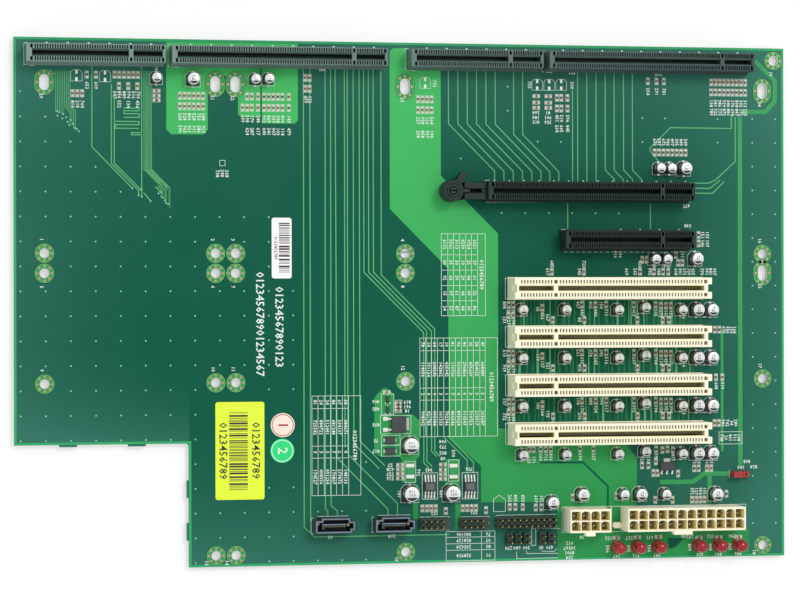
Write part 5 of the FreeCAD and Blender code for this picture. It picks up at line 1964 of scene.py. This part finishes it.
NUMBERS = [(x, y, turn) for turn, spots in (
    (180.0, [(x, -103.0) for x in (42.3, 45.9, 49.9, 56.3, 60.0)]),
    (180.0, [(x, y) for x in (54.5, 59.6) for y in (80.0, 78.0, 76.0)]),
    (-90.0, [(x, -11.8) for x in (136.4, 138.0, 139.6, 141.2)]),
    (-90.0, [(x, 91.6) for x in (10.8, 51.6, 70.0)]),
    (180.0, [(-33.5, -97.1), (-7.6, -97.1), (10.6, -87.9), (27.5, -87.9), (120.0, 41.0), (120.6, 32.6),
             (8.2, -69.7), (25.4, -69.6), (119.0, -99.4), (74.0, -99.0), (-36.5, 97.0), (108.0, 97.0),
             (70.0, 97.0), (146.6, -68.0), (144.0, -70.5), (149.7, -70.3)]),
    (180.0, [(x, -107.4) for x in (89.2, 97.6, 106.8, 125.6, 133.8, 142.6)]),
    (-90.0, [(x, -104.3) for x in (85.1, 94.5, 103.3, 121.1, 130.4, 139.2)]),
    (180.0, [(x, -99.7) for x in (85.6, 94.6, 103.6, 121.4, 130.4, 140.0)]),
    (-90.0, [(135.4 + step * 1.9, -57.8) for step in range(5)]),
    (-90.0, [(136.0 + step * 1.9, -51.5) for step in range(4)]),
    (-90.0, [(x, 13.0) for x in (59.3, 73.1, 93.7, 97.4, 104.0, 107.8, 115.3, 117.2, 119.1, 121.0, 122.9,
                                 126.7, 128.9, 130.6, 132.4)]),
    (-90.0, [(x, y) for x in (127.1, 129.2) for y in (28.6, 25.0)]),
    (-90.0, [(x, 20.4) for x in (88.8, 91.0, 118.2)]),
    (-90.0, [(x, drop - row * CARD_PITCH) for row in range(3) for x, drop in (
        (55.0, -2.7), (59.3, -6.3), (72.4, -1.0), (77.9, -1.1), (82.6, -1.1), (73.1, -7.3), (40.6, -1.0),
        (40.6, -7.2), (118.6, -5.6), (128.0, -5.2))]),
    (180.0, [(x, y) for x, rows in (
        (-8.2, (-67.4, -69.3, -71.1, -73.0)), (14.2, (-57.9, -60.1, -62.7, -65.1)),
        (-0.9, (-41.3, -43.2, -45.0)), (-14.2, (-41.0, -44.0, -50.6, -57.2, -61.6))) for y in rows]),
    (-90.0, [(3.7, -70.8), (18.6, -63.0), (-4.4, -79.6), (13.4, -79.9), (-80.2, 53.4), (-78.2, 53.6),
             (-76.3, 53.4), (-105.4, 96.0), (105.5, -59.0)]),
) for x, y in spots]
BARE_SEATS = ((-137.8, 93.1), (-126.2, 92.9), (7.0, 91.9), (55.0, 91.7), (60.2, 91.7), (65.4, 91.8))


@dataclass(frozen=True)
class Print:
    """The white print on the board: outlines, tables and plain figures beside the parts."""

    line: float = 0.17
    thin_line: float = 0.13
    figure: float = 1.45
    tick: Point = (0.4, 0.25)
    tick_pitch: float = 8.5
    tick_line: float = 106.35
    spot: Point = (0.3, 0.2)
    seat: float = 2.3
    pad: Point = (0.5, 0.8)
    pad_shift: float = 1.5
    chip_frame: Point = (0.7, 1.5)
    frame_gap: float = 0.5
    cut_share: float = 0.45

    def frame(self, made: Shape, low: Point, high: Point, line: float) -> None:
        """Outlines a box between two corners."""
        made.ribbon(four_corners(low, high), line, *span(Layer.PRINT), closed=True)

    def outlines(self) -> None:
        """Outlines the sockets, the cans and the small chips."""
        made, chip, levels = Shape(), Shape(), span(Layer.PRINT)
        for low, high in FRAMES:
            self.frame(made, low, high, self.line)
        for way in LINES:
            made.ribbon(way, self.line, *levels)
        for name in ("host_slot_a", "host_slot_b", "host_slot_c", "host_slot_d"):
            low, high = node_box(f"{name}_housing")
            left = low.x - 0.7
            made.ribbon([(left + 1.4, 106.2), (left, 105.9), (left, 97.2), (left + 4.3, 96.8)], self.line,
                        *levels)
            for step in range(1, int((high.x - low.x) / self.tick_pitch) + 1):
                made.tile((low.x + step * self.tick_pitch, self.tick_line), self.tick, levels)
        for spot in SPOTS:
            made.tile(spot, self.spot, levels)
        for size in ("small", "medium", "large"):
            for low, high in solids(f"{size}_capacitor_bases"):
                self.pentagon(made, middle_of((low, high)), (high.x - low.x) / 2.0 + self.frame_gap)
        for x, y in BARE_SEATS:
            self.pentagon(made, (x, y), self.seat)
            for end in (y - self.pad_shift, y + self.pad_shift):
                made.tile((x, end), self.pad, levels)
        wide, long = self.chip_frame
        self.frame(chip, (-wide, -long), (wide, long), self.thin_line)
        for row in CHIP_ROWS:
            made.stamp(chip, [at(x, y, 0.0, 90.0 if row.flat else 0.0) for x, y in row.spots()])
        made.piece("outline_print", [INK], "white_paper")

    def pentagon(self, made: Shape, spot: Point, half: float) -> None:
        """Outlines a can's footprint, with two corners cut.

        Args:
            made: the shape to add to.
            spot: the can's middle.
            half: half its width.
        """
        x, y = spot
        outline = cut_square(half, half * self.cut_share)
        made.ribbon([(x + aside, y + ahead) for aside, ahead in outline], self.thin_line, *span(Layer.PRINT),
                    closed=True)

    def tables(self) -> None:
        """Prints the tables with plain figures in their cells."""
        made, rng = Shape(), random.Random(SEED)
        levels = span(Layer.PRINT)
        for table in TABLES:
            self.frame(made, table.low, table.high, self.line)
            wide, tall = table.high[0] - table.low[0], table.high[1] - table.low[1]
            lines = [table.low[0] + share * wide for share in table.columns]
            levels_y = [table.low[1] + share * tall for share in table.rows]
            for x in lines:
                made.ribbon([(x, table.low[1]), (x, table.high[1])], self.line, *levels)
            last = lines[-1] if table.turn < 0.0 else table.high[0]
            for y in levels_y:
                made.ribbon([(table.low[0], y), (last, y)], self.line, *levels)
            cells_x = [table.low[0]] + lines + ([] if table.turn < 0.0 else [table.high[0]])
            cells_y = [table.low[1]] + levels_y + [table.high[1]]
            for left, right in zip(cells_x, cells_x[1:]):
                for low, high in zip(cells_y, cells_y[1:]):
                    room = (high - low) if table.turn < 0.0 else (right - left)
                    count = max(1, min(6, int(room / 1.7) - 1))
                    figures = "".join(rng.choice("0123456789") for _ in range(count))
                    made.number(figures, ((left + right) / 2.0, (low + high) / 2.0), self.figure, *levels,
                                table.turn)
            if table.turn < 0.0:
                made.number("0123456789",
                            ((last + table.high[0]) / 2.0, (table.low[1] + table.high[1]) / 2.0),
                            self.figure * 1.2, *levels, table.turn)
        made.piece("table_print", [INK], "white_paper")

    def marks(self) -> None:
        """Numbers the small chips, the holes and the sockets."""
        made, rng = Shape(), random.Random(SEED + 1)
        levels = span(Layer.PRINT)
        for row in CHIP_ROWS:
            if row.mark:
                for x, y in row.spots():
                    made.number(str(rng.randint(100, 999)), (x, y + row.mark), self.figure, *levels, -90.0)
        for count, (x, y) in enumerate(ROUND_HOLES + SLOT_HOLES):
            aside, side = (-4.0, -2.9) if y < -100.0 else (-1.2, 5.6 if y in (20.6, -32.7) else -5.6)
            made.number(str(count + 1), (x + aside, y + side), self.figure, *levels, -90.0)
        for x, y, turn in NUMBERS:
            made.number(str(rng.randint(10, 999)), (x, y), self.figure, *levels, turn)
        for x, y, figures in ((-62.8, -8.6, "012345678901234567"), (-54.8, -9.9, "01234567890123")):
            made.number(figures, (x, y), self.figure * 2.28, *levels, -90.0)
        for step, figures in enumerate(("012", "34567", "8901", "234")):
            made.number(figures, (68.6, -101.5 - step * 2.0), self.figure, *levels, 180.0)
        made.piece("figure_print", [INK], "white_paper")

    def build(self) -> None:
        """Prints the board."""
        self.outlines()
        self.tables()
        self.marks()


@dataclass(frozen=True)
class Stage:
    """The floor, the light and the camera."""

    floor_half: float = 1.6
    lens: float = 118.537
    sensor: float = 36.0
    eye: tuple[float, float, float] = (-0.202706, 0.002139, 1.08331)
    tilt: tuple[float, float, float] = (-0.0255, -10.4325, -0.1215)
    sky: float = 0.84
    lamp_power: float = 12.0
    lamp_side: float = 0.6
    lamp_place: tuple[float, float, float] = (0.55, 0.75, 1.7)

    def floor(self) -> None:
        """Lays a white floor that shows white to the eye and keeps the object's shadow."""
        part = bmesh.new()
        bmesh.ops.create_grid(part, x_segments=1, y_segments=1, size=self.floor_half)
        data = bpy.data.meshes.new("floor")
        part.to_mesh(data)
        part.free()
        graph = Graph("white_floor")
        graph.dress(Base_Color=screen((250, 250, 250)), Roughness=0.9)
        path = graph.node("ShaderNodeLightPath")
        rays = [Value(graph, path.outputs[f"Is {ray} Ray"]) for ray in ("Camera", "Glossy", "Transmission")]
        seen = sum(rays, start=0.0)
        glow = graph.node("ShaderNodeEmission", {}, {"Color": (1.0, 1.0, 1.0, 1.0)})
        mixed = graph.node("ShaderNodeMixShader", {}, {0: 0.5 * seen, 1: graph.surface.outputs[0],
                                                       2: glow.outputs[0]})
        graph.feed(graph.output.inputs["Surface"], mixed.outputs[0])
        data.materials.append(graph.material)
        floor = bpy.data.objects.new("floor", data)
        bpy.context.scene.collection.objects.link(floor)

    def light(self) -> None:
        """Sets an even sky and one large soft lamp."""
        world = bpy.data.worlds.new("studio")
        world.use_nodes = True
        sky = world.node_tree.nodes["Background"]
        sky.inputs["Color"].default_value = (1.0, 1.0, 1.0, 1.0)
        sky.inputs["Strength"].default_value = self.sky
        bpy.context.scene.world = world
        lamp = bpy.data.lights.new("soft_lamp", "AREA")
        lamp.energy = self.lamp_power
        lamp.size = self.lamp_side
        holder = bpy.data.objects.new("soft_lamp", lamp)
        holder.location = self.lamp_place
        holder.rotation_euler = (-Vector(self.lamp_place)).to_track_quat("-Z", "Y").to_euler()
        bpy.context.scene.collection.objects.link(holder)

    def camera(self) -> None:
        """Sets the camera where the photograph was taken from."""
        view = bpy.data.cameras.new("view")
        view.lens = self.lens
        view.sensor_width = self.sensor
        view.clip_start = 0.01
        holder = bpy.data.objects.new("view", view)
        holder.location = self.eye
        holder.rotation_euler = [math.radians(angle) for angle in self.tilt]
        bpy.context.scene.collection.objects.link(holder)
        bpy.context.scene.camera = holder
        bpy.context.scene.view_settings.view_transform = "Standard"


def dress_nodes(finishes: dict[str, Finish]) -> None:
    """Gives the CAD nodes that stay their finishes.

    Args:
        finishes: finish by node.
    """
    for name, finish in finishes.items():
        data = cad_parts[name].data
        data.materials.clear()
        data.materials.append(finish.material())
        LOG.info("%s: %s", name, finish.name)


def main() -> None:
    """Builds the board's pieces in order."""
    logging.basicConfig(level=logging.INFO, format="%(message)s")
    stage = Stage()
    stage.floor()
    stage.light()
    stage.camera()
    dress_nodes({"board": MASK, "jumper_cap": RED})
    make_slots()
    PowerHeader("main_power", 12, 8.2, -1.6).build()
    PowerHeader("aux_power", 4, 4.2).build()
    PinHeader(("port_header_1_base", "port_header_2_base"), "port_header_pins").build()
    PinHeader(("control_header_base",), "control_header_pins").build()
    PinHeader(("two_pin_header_bases",), "two_pin_header_pins").build()
    PinHeader(("selector_base",), "selector_pins", RED, "red_plastic").build()
    contacts = Shape()
    for port in ("drive_port_1", "drive_port_2"):
        DrivePort(port).build(contacts)
    contacts.piece("drive_port_contact_row", [GOLD, SOLDER], "gold_contact", "drive_port_contacts")
    Latch().bracket()
    Latch().lever()
    Lamps().build()
    for size, value in (("small", "10"), ("medium", "47"), ("large", "100")):
        Cans(size, value).build()
    Chips().build()
    PaperLabels().build()
    Copper().build()
    SmallChips().build()
    Print().build()


if __name__ == "__main__":
    main()
